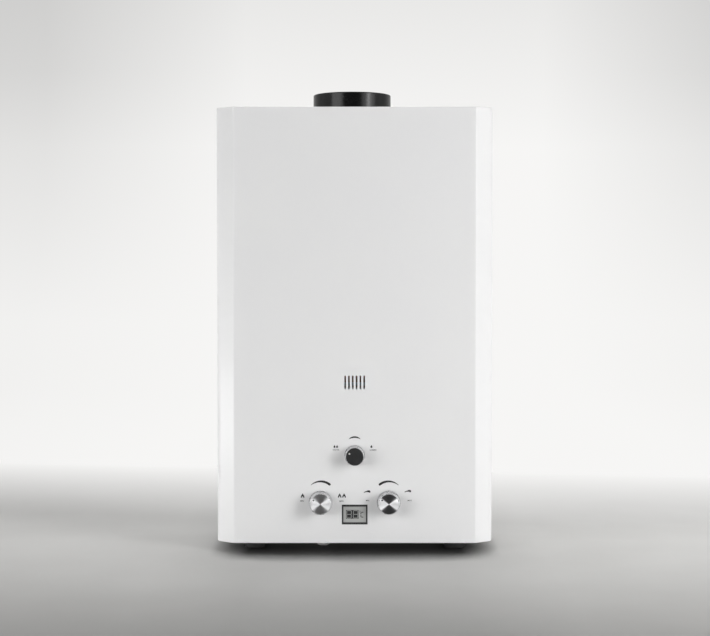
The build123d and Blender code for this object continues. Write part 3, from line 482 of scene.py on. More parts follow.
def lathe(shape: bmesh.types.BMesh, profile: list[Point], steps: int, turn: Matrix) -> None:
    """Add a turned solid.

    Args:
        shape: the geometry that it is added to.
        profile: closed loop of (radius, height); a radius of 0 becomes one pole.
        steps: number of sides.
        turn: moves and turns the solid from the Z axis to its place.
    """
    rings = []
    for radius, height in profile:
        if radius == 0.0:
            rings.append([shape.verts.new(turn @ Vector((0.0, 0.0, height)))])
            continue
        angles = [2 * math.pi * i / steps for i in range(steps)]
        spots = [Vector((radius * math.cos(a), radius * math.sin(a), height)) for a in angles]
        rings.append([shape.verts.new(turn @ spot) for spot in spots])
    for low, high in zip(rings, rings[1:] + rings[:1]):
        if len(low) == len(high) == 1:
            continue
        for i in range(steps):
            j = (i + 1) % steps
            corners = [low[i % len(low)], low[j % len(low)], high[j % len(high)], high[i % len(high)]]
            shape.faces.new(list(dict.fromkeys(corners)))


def prism(
    shape: bmesh.types.BMesh, across_flats: float, low: float, high: float, chamfer: float, turn: Matrix
) -> None:
    """Add a hexagonal prism with its corners chamfered top and bottom."""
    outer, inner = across_flats / math.sqrt(3), across_flats / math.sqrt(3) - chamfer
    rings = []
    heights = (low, low + chamfer / 2, high - chamfer / 2, high)
    for radius, height in zip((inner, outer, outer, inner), heights):
        angles = [math.pi / 3 * i + math.pi / 6 for i in range(6)]
        spots = [Vector((radius * math.cos(a), radius * math.sin(a), height)) for a in angles]
        rings.append([shape.verts.new(turn @ spot) for spot in spots])
    for lower, upper in zip(rings, rings[1:]):
        for i in range(6):
            j = (i + 1) % 6
            shape.faces.new((lower[i], lower[j], upper[j], upper[i]))
    shape.faces.new(rings[0][::-1])
    shape.faces.new(rings[-1])


# ------------------------------------------------------------------ sub-assemblies
class Wardrobe:
    """The finishes by slot, and their use on the frame's own solids."""

    # Painted reflection of each knob's turned face: the colour of its darker sectors.
    CAP_PAINTED_REFLECTIONS: dict[str, Colour] = {"gas_knob_cap": (0.56, 0.56, 0.57), "water_knob_cap": (0.17, 0.17, 0.175)}

    def __init__(self) -> None:
        """Build every finish once, and a turned face about the centre of each knob, with its painted
        reflection.
        """
        self.materials = {finish.slot: finish.material() for finish in FINISHES}
        self.caps = {
            node: SpunFace(
                "knob_metal", (0.93, 0.93, 0.94), (0.88, 0.88, 0.89), metallic=1.0, roughness=0.42,
                swing=0.02, patch=0.005, grain_depth=0.000004, ring_pitch=0.0007,
                centre=centre_of(node).to_tuple(), painted_reflection_shade=painted_reflection_shade,
            ).material()
            for node, painted_reflection_shade in self.CAP_PAINTED_REFLECTIONS.items()
        }

    def __getitem__(self, slot: str) -> bpy.types.Material:
        """The material of a slot."""
        return self.materials[slot]

    def dress(self) -> None:
        """Give each solid of the frame the finish of its slot."""
        for name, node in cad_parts.items():
            for holder in node.material_slots:
                holder.material = self.caps.get(name) or self.materials[holder.material.name]


class SubAssembly(ABC):
    """A group of pieces that are built and dressed together."""

    @abstractmethod
    def build(self, wardrobe: Wardrobe) -> list[bpy.types.Object]:
        """Make the pieces, dress them and put them on their bodies."""

    @staticmethod
    def place(piece: bpy.types.Object, body: str, slot: str) -> bpy.types.Object:
        """Put a finished piece on its body."""
        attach(piece, body)
        return piece

    @staticmethod
    def solid(name: str, shape: bmesh.types.BMesh, material: bpy.types.Material) -> bpy.types.Object:
        """Turn edited geometry into an object at the origin.

        Args:
            name: the piece's name.
            shape: its geometry, freed here.
            material: its finish.

        Returns:
            The new object, linked to the scene.
        """
        bmesh.ops.recalc_face_normals(shape, faces=shape.faces)
        mesh = bpy.data.meshes.new(name)
        shape.to_mesh(mesh)
        shape.free()
        mesh.materials.append(material)
        made = bpy.data.objects.new(name, mesh)
        bpy.context.scene.collection.objects.link(made)
        return made

    @staticmethod
    def smooth(piece: bpy.types.Object, angle: float = 30.0) -> None:
        """Shade a piece smooth, with edges sharper than angle degrees kept crisp."""
        piece.data.shade_smooth()
        piece.data.set_sharp_from_angle(angle=math.radians(angle))


class Print(SubAssembly):
    """Base for flat printed marks: outlines in the front panel's plane, raised by a film of ink."""

    FILM = 0.00006

    def __init__(self) -> None:
        """Start with no marks."""
        self.shape = bmesh.new()

    def patch(self, outline: list[Point], y: float, film: float = FILM) -> None:
        """Add one filled outline.

        Args:
            outline: points (x, z) in order, seen from the front.
            y: depth of the surface that carries it.
            film: thickness of the ink, towards the front.
        """
        back = [self.shape.verts.new((x, y, z)) for x, z in outline]
        front = [self.shape.verts.new((x, y - film, z)) for x, z in outline]
        self.shape.faces.new(back)
        self.shape.faces.new(front[::-1])
        for i in range(len(outline)):
            j = (i + 1) % len(outline)
            self.shape.faces.new((back[i], back[j], front[j], front[i]))

    def arc(
        self, ends: tuple[Point, Point], rise: float, widths: tuple[float, float, float], y: float
    ) -> None:
        """Add a curved stroke whose width changes along it.

        Args:
            ends: its two ends, left and right, as (x, z).
            rise: how far its middle stands above the line between them.
            widths: width at the left end, in the middle and at the right end.
            y: depth of the surface that carries it.
        """
        (x0, z0), (x1, z1) = ends
        half = math.hypot(x1 - x0, z1 - z0) / 2
        radius = (half**2 + rise**2) / (2 * rise)
        swing = math.asin(half / radius)
        tilt = math.atan2(z1 - z0, x1 - x0)
        middle = Vector(((x0 + x1) / 2, (z0 + z1) / 2))
        up = Vector((-math.sin(tilt), math.cos(tilt)))
        centre = middle + up * (rise - radius)
        outer, inner, steps = [], [], 40
        length = 2 * swing * radius
        for i in range(steps + 1):
            t = (1 - math.cos(math.pi * i / steps)) / 2
            turn = tilt + math.pi / 2 + swing * (1 - 2 * t)
            width = widths[0] * (1 - t) ** 2 + 2 * widths[1] * t * (1 - t) + widths[2] * t**2
            to_end = min(t, 1 - t) * length / (width / 2)
            half_width = width / 2 * (math.sqrt(1 - (1 - to_end) ** 2) if to_end < 1 else 1.0)
            ray = Vector((math.cos(turn), math.sin(turn)))
            outer.append(tuple(centre + ray * (radius + max(half_width, width * 0.04))))
            inner.append(tuple(centre + ray * (radius - max(half_width, width * 0.04))))
        self.patch(outer + inner[::-1], y)

    def disc(self, centre: Point, radius: float, y: float, squash: float = 1.0) -> None:
        """Add a round or oval dot."""
        steps = 24
        ring = [
            (centre[0] + radius * math.cos(2 * math.pi * i / steps),
             centre[1] + radius * squash * math.sin(2 * math.pi * i / steps))
            for i in range(steps)
        ]
        self.patch(ring, y)

    def words(self, text: str, centre: Point, height: float, y: float) -> None:
        """Add a short generic mark in plain capitals, centred on a point."""
        curve = bpy.data.curves.new("word", "FONT")
        curve.body = text
        curve.align_x = "CENTER"
        curve.align_y = "CENTER"
        curve.size = height / 0.72
        curve.extrude = self.FILM / 2
        curve.offset = height * 0.012
        curve.resolution_u = 3
        holder = bpy.data.objects.new("word", curve)
        bpy.context.scene.collection.objects.link(holder)
        graph = bpy.context.evaluated_depsgraph_get()
        mesh = bpy.data.meshes.new_from_object(holder.evaluated_get(graph))
        place = Matrix.Translation((centre[0], y - self.FILM / 2, centre[1]))
        mesh.transform(place @ Matrix.Rotation(math.pi / 2, 4, "X"))
        bpy.data.objects.remove(holder)
        before = set(self.shape.verts)
        self.shape.from_mesh(mesh)
        letters = [vert for vert in self.shape.verts if vert not in before]
        bmesh.ops.remove_doubles(self.shape, verts=letters, dist=0.001 * MM)
        bpy.data.meshes.remove(mesh)


def moved(outline: list[Point], centre: Point, scale: float = 1.0, flip: float = 1.0) -> list[Point]:
    """An outline scaled, mirrored if flip is -1, and moved to a centre."""
    points = [(centre[0] + x * scale * flip, centre[1] + z * scale) for x, z in outline]
    return points if flip > 0 else points[::-1]


@dataclass
class DialPrint(Print):
    """Printed scales of the three dials: tapering arcs, flames, taps, drops and small captions."""

    panel_y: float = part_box("front_cover")[0].y
    gas_dial: Point = centre_of("gas_knob").xz.to_tuple()
    water_dial: Point = centre_of("water_knob").xz.to_tuple()
    season_dial: Point = centre_of("season_knob").xz.to_tuple()
    arc_half: float = 12.4 * MM
    arc_above: float = 21.8 * MM
    arc_rise: float = 4.8 * MM
    thin: float = 0.5 * MM
    thick: float = 3.0 * MM
    season_half: float = 7.4 * MM
    season_above: float = 20.4 * MM
    season_rise: float = 2.7 * MM
    season_widths: tuple[float, float, float] = (0.3 * MM, 3.8 * MM, 0.3 * MM)
    flame: list[Point] = field(default_factory=lambda: [
        (-2.2, -2.4), (-1.9, -0.6), (-1.0, 1.0), (0.0, 2.6), (1.0, 1.0), (1.9, -0.6), (2.2, -2.4),
        (0.9, -2.4), (0.6, -1.3), (0.0, -0.5), (-0.6, -1.3), (-0.9, -2.4)])
    tap: list[Point] = field(default_factory=lambda: [
        (-4.2, -0.9), (-2.2, 0.3), (-0.4, 0.8), (1.0, 1.6), (3.2, 1.6), (4.3, 0.5), (4.3, -1.3), (2.2, -1.3),
        (1.9, -0.6), (0.6, -0.7), (-1.2, -0.6), (-3.6, -1.5)])
    drop: list[Point] = field(default_factory=lambda: [
        (0.0, 1.7), (-0.5, 0.7), (-1.1, -0.2), (-1.2, -0.9), (-0.7, -1.5), (0.0, -1.7), (0.7, -1.5),
        (1.2, -0.9), (1.1, -0.2), (0.5, 0.7)])

    def __post_init__(self) -> None:
        """Start with no marks."""
        super().__init__()

    def build(self, wardrobe: Wardrobe) -> list[bpy.types.Object]:
        """Print the three scales on the front cover."""
        y = self.panel_y
        for (x, z), widths in (
            (self.gas_dial, (self.thin, self.thick, self.thick)),
            (self.water_dial, (self.thick, self.thick, self.thin)),
        ):
            level = z + self.arc_above
            self.arc(((x - self.arc_half, level), (x + self.arc_half, level)), self.arc_rise, widths, y)
        x, z = self.season_dial
        level = z + self.season_above
        ends = ((x - self.season_half, level), (x + self.season_half, level))
        self.arc(ends, self.season_rise, self.season_widths, y)
        for dial, across, above in (
            (self.gas_dial, -22.8, 8.6), (self.gas_dial, 24.0, 8.7), (self.gas_dial, 29.6, 8.7),
        ):
            self.patch(moved(self.flame, (dial[0] + across * MM, dial[1] + above * MM), MM * 1.1), y)
        for across, above in ((-27.5, 13.7), (24.0, 14.2)):
            centre = (self.water_dial[0] + across * MM, self.water_dial[1] + above * MM)
            self.patch(moved(self.tap, centre, MM), y)
        for across in (-25.5, -22.2, 21.1):
            self.patch(moved(self.drop, (x + across * MM, z + 11.3 * MM), MM * 1.15), y)
        for dial, across, above, text, height in (
            (self.gas_dial, -23.6, 1.7, "MIN", 1.8), (self.gas_dial, 26.4, 1.5, "MAX", 1.8),
            (self.water_dial, -26.6, 2.3, "MIN", 1.8), (self.water_dial, 26.5, 2.3, "MAX", 1.8),
            (self.season_dial, -23.6, 6.8, "WINTER", 1.6), (self.season_dial, 23.3, 6.6, "SUMMER", 1.6),
        ):
            self.words(text, (dial[0] + across * MM, dial[1] + above * MM), height * MM, y)
        piece = self.solid("dial_print", self.shape, wardrobe["knob_black"])
        return [self.place(piece, "case", "knob_black")]


@dataclass
class DisplayDigits(Print):
    """Figures of the temperature display: two light digits on a dark block, degree sign and letter."""

    centre: Point = (-3.0 * MM, 48.5 * MM)
    glass_y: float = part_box("display_glass")[0].y
    digit: Point = (6.3 * MM, 10.0 * MM)
    gap: float = 1.4 * MM
    stroke: float = 0.60 * MM
    lean: float = 0.02
    block: Point = (15.8 * MM, 11.0 * MM)

    def __post_init__(self) -> None:
        """Start with no segments."""
        super().__init__()

    def segment(self, start: Point, end: Point, stroke: float) -> None:
        """Add one six-sided bar between two points."""
        a, b = Vector(start), Vector(end)
        along = (b - a).normalized()
        side = Vector((-along.y, along.x)) * stroke / 2
        inset = along * stroke / 2
        a, b = a + along * 0.12 * MM, b - along * 0.12 * MM
        ring = [a, a + inset + side, b - inset + side, b, b - inset - side, a + inset - side]
        base = self.centre[1]
        self.patch([(p.x + (p.y - base) * self.lean, p.y) for p in ring][::-1], self.glass_y, 2 * self.FILM)

    def glyph(self, centre: Point, size: Point, stroke: float, parts: str) -> None:
        """Add a seven-segment figure; parts names its lit bars, a to g clockwise from the top."""
        (x, z), (w, h) = centre, (size[0] / 2, size[1] / 2)
        corners = {
            "a": ((-w, h), (w, h)), "b": ((w, h), (w, 0)), "c": ((w, 0), (w, -h)), "d": ((-w, -h), (w, -h)),
            "e": ((-w, 0), (-w, -h)), "f": ((-w, h), (-w, 0)), "g": ((-w, 0), (w, 0)),
        }
        for part in parts:
            (x0, z0), (x1, z1) = corners[part]
            self.segment((x + x0, z + z0), (x + x1, z + z1), stroke)

    def build(self, wardrobe: Wardrobe) -> list[bpy.types.Object]:
        """Set the figures on the glass."""
        x, z = self.centre
        step = (self.digit[0] + self.gap) / 2 + self.stroke / 2
        size = (self.digit[0] - self.stroke, self.digit[1] - self.stroke)
        for side in (-1, 1):
            self.glyph((x + side * step, z), size, self.stroke, "abcdefg")
        digits = self.solid("display_digits", self.shape, wardrobe["display_panel"])
        self.place(digits, "case", "display_panel")
        self.shape = bmesh.new()
        half, high = self.block[0] / 2, self.block[1] / 2
        self.patch([(x - half, z - high), (x + half, z - high), (x + half, z + high), (x - half, z + high)],
                   self.glass_y)
        self.glyph((x + 12.6 * MM, z - 0.4 * MM), (3.4 * MM, 6.2 * MM), 1.0 * MM, "adef")
        self.glyph((x + 9.6 * MM, z + 3.4 * MM), (1.2 * MM, 1.8 * MM), 0.5 * MM, "abcdef")
        block = self.solid("display_block", self.shape, wardrobe["knob_black"])
        return [digits, self.place(block, "case", "knob_black")]


@dataclass
class GripRibs(SubAssembly):
    """Fine ribs round a turned grip, so that it doesn't slip in the fingers."""

    node: str
    body: str
    slot: str
    count: int
    start_radius: float
    end_radius: float
    rib_radius: float
    length: float
    facing: tuple[float, float, float]

    def build(self, wardrobe: Wardrobe) -> list[bpy.types.Object]:
        """Set the ribs in a ring and lean them along the grip's taper."""
        tree = ShapeTree("grip_ribs")
        count = tree.size("Count", self.count, "NodeSocketInt")
        start_radius = tree.size("Start Radius", self.start_radius)
        rib_radius = tree.size("Rib Radius", self.rib_radius)
        length = tree.size("Length", self.length)
        lean = tree.size("Lean", math.atan2(self.start_radius - self.end_radius, self.length))
        foot = centre_of(self.node) - Vector(self.facing) * self.length / 2
        place = tree.size("Place", foot.to_tuple(), "NodeSocketVector")
        turn = Vector((0, 0, 1)).rotation_difference(Vector(self.facing)).to_euler()
        facing = tree.size("Facing", tuple(turn), "NodeSocketRotation")
        ring = tree.node("GeometryNodeMeshCircle", Vertices=count, Radius=start_radius)
        rib = tree.node("GeometryNodeMeshCone", Radius_Top=rib_radius, Radius_Bottom=rib_radius, Depth=length)
        rib.inputs["Vertices"].default_value = 8
        outwards = tree.node("GeometryNodeInputPosition").outputs[0]
        spun = tree.node("FunctionNodeAlignRotationToVector", Vector=outwards)
        spun.axis = "X"
        tilt = tree.node("ShaderNodeCombineXYZ")
        tree.tree.links.new(tree.maths("MULTIPLY", lean, -1.0), tilt.inputs["Y"])
        leaning = tree.node("FunctionNodeRotateRotation", Rotation=spun.outputs["Rotation"])
        leaning.rotation_space = "LOCAL"
        tree.tree.links.new(tilt.outputs["Vector"], leaning.inputs["Rotate By"])
        ribs = tree.node("GeometryNodeInstanceOnPoints", Points=ring.outputs["Mesh"],
                         Instance=rib.outputs["Mesh"], Rotation=leaning.outputs["Rotation"])
        placed = tree.node("GeometryNodeTransform", Geometry=ribs.outputs["Instances"],
                           Translation=place, Rotation=facing)
        piece = tree.run(f"{self.node}_ribs", placed.outputs["Geometry"], wardrobe[self.slot])
        self.smooth(piece, 50.0)
        return [self.place(piece, self.body, self.slot)]


@dataclass
class KnobTrim(SubAssembly):
    """Pointer dot let into a knob's face, and a pale sleeve round the grip where the knob has one."""

    knob: str
    face: str
    body: str
    dot_slot: str
    dot_reach: float
    dot_radius: float = 1.05 * MM
    dot_depth: tuple[float, float] = (0.12 * MM, 0.45 * MM)
    angle: float = math.radians(150.0)
    sleeve: bool = False
    face_radius: float = 11.0 * MM
    foot_radius: float = 12.6 * MM
    foot_height: float = 2.6 * MM
    taper: float = math.radians(3.0)
    skin: float = 0.2 * MM
    steps: int = 64

    def build(self, wardrobe: Wardrobe) -> list[bpy.types.Object]:
        """Turn the dot and the ring about the knob's own axis."""
        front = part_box(self.face)[0].y
        axis = centre_of(self.knob)
        upright = Matrix.Rotation(math.pi / 2, 4, "X")
        pointer = Vector((math.cos(self.angle), 0.0, math.sin(self.angle))) * self.dot_reach
        spot = Vector((axis.x, front, axis.z)) + pointer
        shape = bmesh.new()
        top, foot = self.dot_depth
        lathe(shape, [(0.0, -foot), (self.dot_radius, -foot), (self.dot_radius, -top - 0.08 * MM),
                      (self.dot_radius * 0.85, -top), (0.0, -top)], 24, Matrix.Translation(spot) @ upright)
        dot = self.solid(f"{self.knob}_dot", shape, wardrobe[self.dot_slot])
        self.smooth(dot, 40.0)
        pieces = [self.place(dot, self.body, self.dot_slot)]
        if self.sleeve:
            foot_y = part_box(self.knob)[1].y
            length = foot_y - front - 0.9 * MM
            seat = Matrix.Translation((axis.x, foot_y, axis.z)) @ upright
            grip_foot = self.face_radius + (foot_y - front) * math.tan(self.taper)
            grip_end = grip_foot - length * math.tan(self.taper)
            shape = bmesh.new()
            lathe(shape, [
                (grip_foot - self.skin, 0.0), (self.foot_radius + self.skin, 0.0),
                (self.foot_radius + self.skin, self.foot_height * 0.7),
                (self.foot_radius - 0.2 * MM, self.foot_height), (grip_foot, self.foot_height),
                (grip_end + self.skin, length - 0.1 * MM), (grip_end, length), (grip_end - self.skin, length),
            ], self.steps, seat)
            sleeve = self.solid(f"{self.knob}_sleeve", shape, wardrobe["knob_grip"])
            self.smooth(sleeve, 40.0)
            pieces.append(self.place(sleeve, self.body, "knob_grip"))
        return pieces


@dataclass
class PipeEnd(SubAssembly):
    """Pipe end in turned brass: V-thread with a lead-in chamfer, flange, hexagon and neck."""

    node: str
    crest_radius: float = 10.48 * MM
    bore_radius: float = 7.0 * MM
    pitch: float = 1.814 * MM
    thread_depth: float = 1.16 * MM
    plate_low: float = 26.0 * MM
    plate_high: float = 27.0 * MM
    flange_radius: float = 14.0 * MM
    flange_height: float = 6.0 * MM
    hex_width: float = 24.0 * MM
    hex_height: float = 8.0 * MM
    steps: int = 64

    def blank(self) -> bmesh.types.BMesh:
        """Turned body without its thread."""
        low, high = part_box(self.node)
        middle = (low + high) / 2
        turn = Matrix.Translation((middle.x, middle.y, 0.0))
        root = self.crest_radius - self.thread_depth
        flange_top = self.plate_high + self.flange_height
        neck, chamfer = self.crest_radius - 1.0 * MM, 0.6 * MM
        shape = bmesh.new()
        lathe(shape, [
            (self.bore_radius + chamfer, low.z), (root - chamfer, low.z), (root, low.z + chamfer),
            (root, self.plate_low - 1.2 * MM), (self.crest_radius, self.plate_low),
            (self.crest_radius + 0.3 * MM, self.plate_low), (self.crest_radius + 0.3 * MM, self.plate_high),
            (self.flange_radius - chamfer, self.plate_high), (self.flange_radius, self.plate_high + chamfer),
            (self.flange_radius, flange_top - chamfer), (self.flange_radius - chamfer, flange_top),
            (neck, flange_top), (neck, high.z), (0.0, high.z), (0.0, self.plate_low),
            (self.bore_radius, self.plate_low), (self.bore_radius, low.z + chamfer),
        ], self.steps, turn)
        hex_high = min(flange_top + self.hex_height, high.z)
        prism(shape, self.hex_width, flange_top, hex_high, 0.8 * MM, turn)
        return shape

    def thread(self, material: bpy.types.Material, holder: bpy.types.Mesh) -> bpy.types.Object:
        """Wind the V-thread round the blank and join the two."""
        low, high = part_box(self.node)
        tree = ShapeTree("pipe_thread")
        depth = tree.size("Thread Depth", self.thread_depth)
        pitch = tree.size("Pitch", self.pitch)
        length = tree.size("Thread Length", self.plate_low - low.z - 2.4 * MM)
        crest = tree.size("Crest Radius", self.crest_radius)
        place = tree.size("Place", ((low.x + high.x) / 2, (low.y + high.y) / 2, low.z + 0.9 * MM),
                          "NodeSocketVector")
        radius = tree.maths("SUBTRACT", crest, depth)
        turns = tree.maths("DIVIDE", length, pitch)
        helix = tree.node("GeometryNodeCurveSpiral", Start_Radius=radius, End_Radius=radius,
                          Height=length, Rotations=turns)
        helix.inputs["Resolution"].default_value = 48
        upright = tree.node("GeometryNodeSetCurveNormal", Curve=helix.outputs["Curve"])
        upright.mode = "Z_UP"
        half = tree.maths("MULTIPLY", pitch, 0.46)
        ridge = tree.node("GeometryNodeCurvePrimitiveQuadrilateral")
        ridge.mode = "KITE"
        tree.tree.links.new(tree.maths("MULTIPLY", depth, 2.0), ridge.inputs["Width"])
        for label in ("Bottom Height", "Top Height"):
            tree.tree.links.new(half, ridge.inputs[label])
        swept = tree.node("GeometryNodeCurveToMesh", Curve=upright.outputs["Curve"],
                          Profile_Curve=ridge.outputs["Curve"])
        swept.inputs["Fill Caps"].default_value = True
        placed = tree.node("GeometryNodeTransform", Geometry=swept.outputs["Mesh"], Translation=place)
        both = tree.node("GeometryNodeJoinGeometry")
        tree.tree.links.new(placed.outputs["Geometry"], both.inputs["Geometry"])
        tree.tree.links.new(tree.start.outputs["Geometry"], both.inputs["Geometry"])
        return tree.run(f"{self.node}_threaded", both.outputs["Geometry"], material, holder)

    def build(self, wardrobe: Wardrobe) -> list[bpy.types.Object]:
        """Turn the blank, cut its thread, and let it stand for the frame's plain solid."""
        shape = self.blank()
        bmesh.ops.recalc_face_normals(shape, faces=shape.faces)
        holder = bpy.data.meshes.new(f"{self.node}_blank")
        shape.to_mesh(holder)
        shape.free()
        piece = self.thread(wardrobe["brass"], holder)
        self.smooth(piece, 28.0)
        self.place(piece, "case", "brass")
        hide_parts(self.node)
        return [piece]


@dataclass
class CrossScrews(SubAssembly):
    """Pan-head screws with a cross recess, each turned to where its driver stopped."""

    name: str
    node: str
    slot: str
    points: list[tuple[float, float, float]]
    facings: list[tuple[float, float, float]]
    head_radius: float = 3.5 * MM
    head_height: float = 1.2 * MM
    recess: float = 1.9 * MM
    shank_radius: float = 2.0 * MM
    shank_length: float = 6.0 * MM
    seed: int = 7

    def head(self) -> bpy.types.Mesh:
        """One screw round the Z axis, its head's underside at z = 0 and its shank below that."""
        shape = bmesh.new()
        steps, rings = 32, []
        dome = [(self.shank_radius, -self.shank_length), (self.shank_radius, 0.0),
                (self.head_radius, 0.0), (self.head_radius, self.head_height * 0.35),
                (self.head_radius * 0.93, self.head_height * 0.72),
                (self.head_radius * 0.78, self.head_height * 0.93),
                (self.head_radius * 0.62, self.head_height)]
        for radius, height in dome:
            angles = [2 * math.pi * i / steps for i in range(steps)]
            spots = [(radius * math.cos(a), radius * math.sin(a), height) for a in angles]
            rings.append([shape.verts.new(spot) for spot in spots])
        for low, high in zip(rings, rings[1:]):
            for i in range(steps):
                j = (i + 1) % steps
                shape.faces.new((low[i], low[j], high[j], high[i]))
        shape.faces.new(rings[0][::-1])
        arm, slot = self.recess, self.recess * 0.3
        cross = [(arm, -slot), (arm, slot), (slot, slot), (slot, arm), (-slot, arm), (-slot, slot),
                 (-arm, slot), (-arm, -slot), (-slot, -slot), (-slot, -arm), (slot, -arm), (slot, -slot)]
        top = [shape.verts.new((x, y, self.head_height)) for x, y in cross]
        floor = [shape.verts.new((x * 0.6, y * 0.6, self.head_height * 0.25)) for x, y in cross]
        for i in range(len(cross)):
            j = (i + 1) % len(cross)
            shape.faces.new((top[i], top[j], floor[j], floor[i]))
        shape.faces.new(floor)
        shape.edges.ensure_lookup_table()
        rim = [shape.edges.get((rings[-1][i], rings[-1][(i + 1) % steps])) for i in range(steps)]
        mouth = [shape.edges.get((top[i], top[(i + 1) % len(top)])) for i in range(len(top))]
        bmesh.ops.triangle_fill(shape, edges=rim + mouth, use_beauty=True)
        bmesh.ops.recalc_face_normals(shape, faces=shape.faces)
        mesh = bpy.data.meshes.new(f"{self.name}_head")
        shape.to_mesh(mesh)
        shape.free()
        return mesh

    def build(self, wardrobe: Wardrobe) -> list[bpy.types.Object]:
        """Put a head on every point, facing the way that the point says."""
        stock = bpy.data.objects.new(f"{self.name}_stock", self.head())
        bpy.context.scene.collection.objects.link(stock)
        spots = bpy.data.meshes.new(f"{self.name}_spots")
        spots.from_pydata(self.points, [], [])
        facing = spots.attributes.new("facing", "FLOAT_VECTOR", "POINT")
        facing.data.foreach_set("vector", [value for row in self.facings for value in row])
        tree = ShapeTree("screws")
        head = tree.size("Head", stock, "NodeSocketObject")
        seed = tree.size("Seed", self.seed, "NodeSocketInt")
        info = tree.node("GeometryNodeObjectInfo", Object=head)
        named = tree.node("GeometryNodeInputNamedAttribute", Name="facing")
        named.data_type = "FLOAT_VECTOR"
        aimed = tree.node("FunctionNodeAlignRotationToVector", Vector=named.outputs["Attribute"])
        aimed.axis = "Z"
        spin = tree.node("FunctionNodeRandomValue", Seed=seed)
        spin.data_type = "FLOAT"
        spin.inputs[3].default_value = math.pi / 2
        about = tree.node("ShaderNodeCombineXYZ")
        tree.tree.links.new(spin.outputs[1], about.inputs["Z"])
        turned = tree.node("FunctionNodeRotateRotation", Rotation=aimed.outputs["Rotation"])
        turned.rotation_space = "LOCAL"
        tree.tree.links.new(about.outputs["Vector"], turned.inputs["Rotate By"])
        heads = tree.node("GeometryNodeInstanceOnPoints", Points=tree.start.outputs["Geometry"],
                          Instance=info.outputs["Geometry"], Rotation=turned.outputs["Rotation"])
        piece = tree.run(self.name, heads.outputs["Instances"], wardrobe[self.slot], spots)
        bpy.data.objects.remove(stock)
        self.smooth(piece, 35.0)
        self.place(piece, "case", self.slot)
        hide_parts(self.node)
        return [piece]


@dataclass(frozen=True)
class Lamp:
    """One soft rectangular lamp that faces the heater."""

    name: str
    place: Colour
    size: Point
    power: float
    aim: Colour = (0.0, -0.05, 0.30)

    def light(self) -> None:
        """Hang the lamp."""
        data = bpy.data.lights.new(self.name, "AREA")
        data.shape = "RECTANGLE"
        data.size, data.size_y = self.size
        data.energy = self.power
        holder = bpy.data.objects.new(self.name, data)
        holder.location = self.place
        facing = Vector(self.aim) - Vector(self.place)
        holder.rotation_euler = facing.to_track_quat("-Z", "Y").to_euler()
        bpy.context.scene.collection.objects.link(holder)


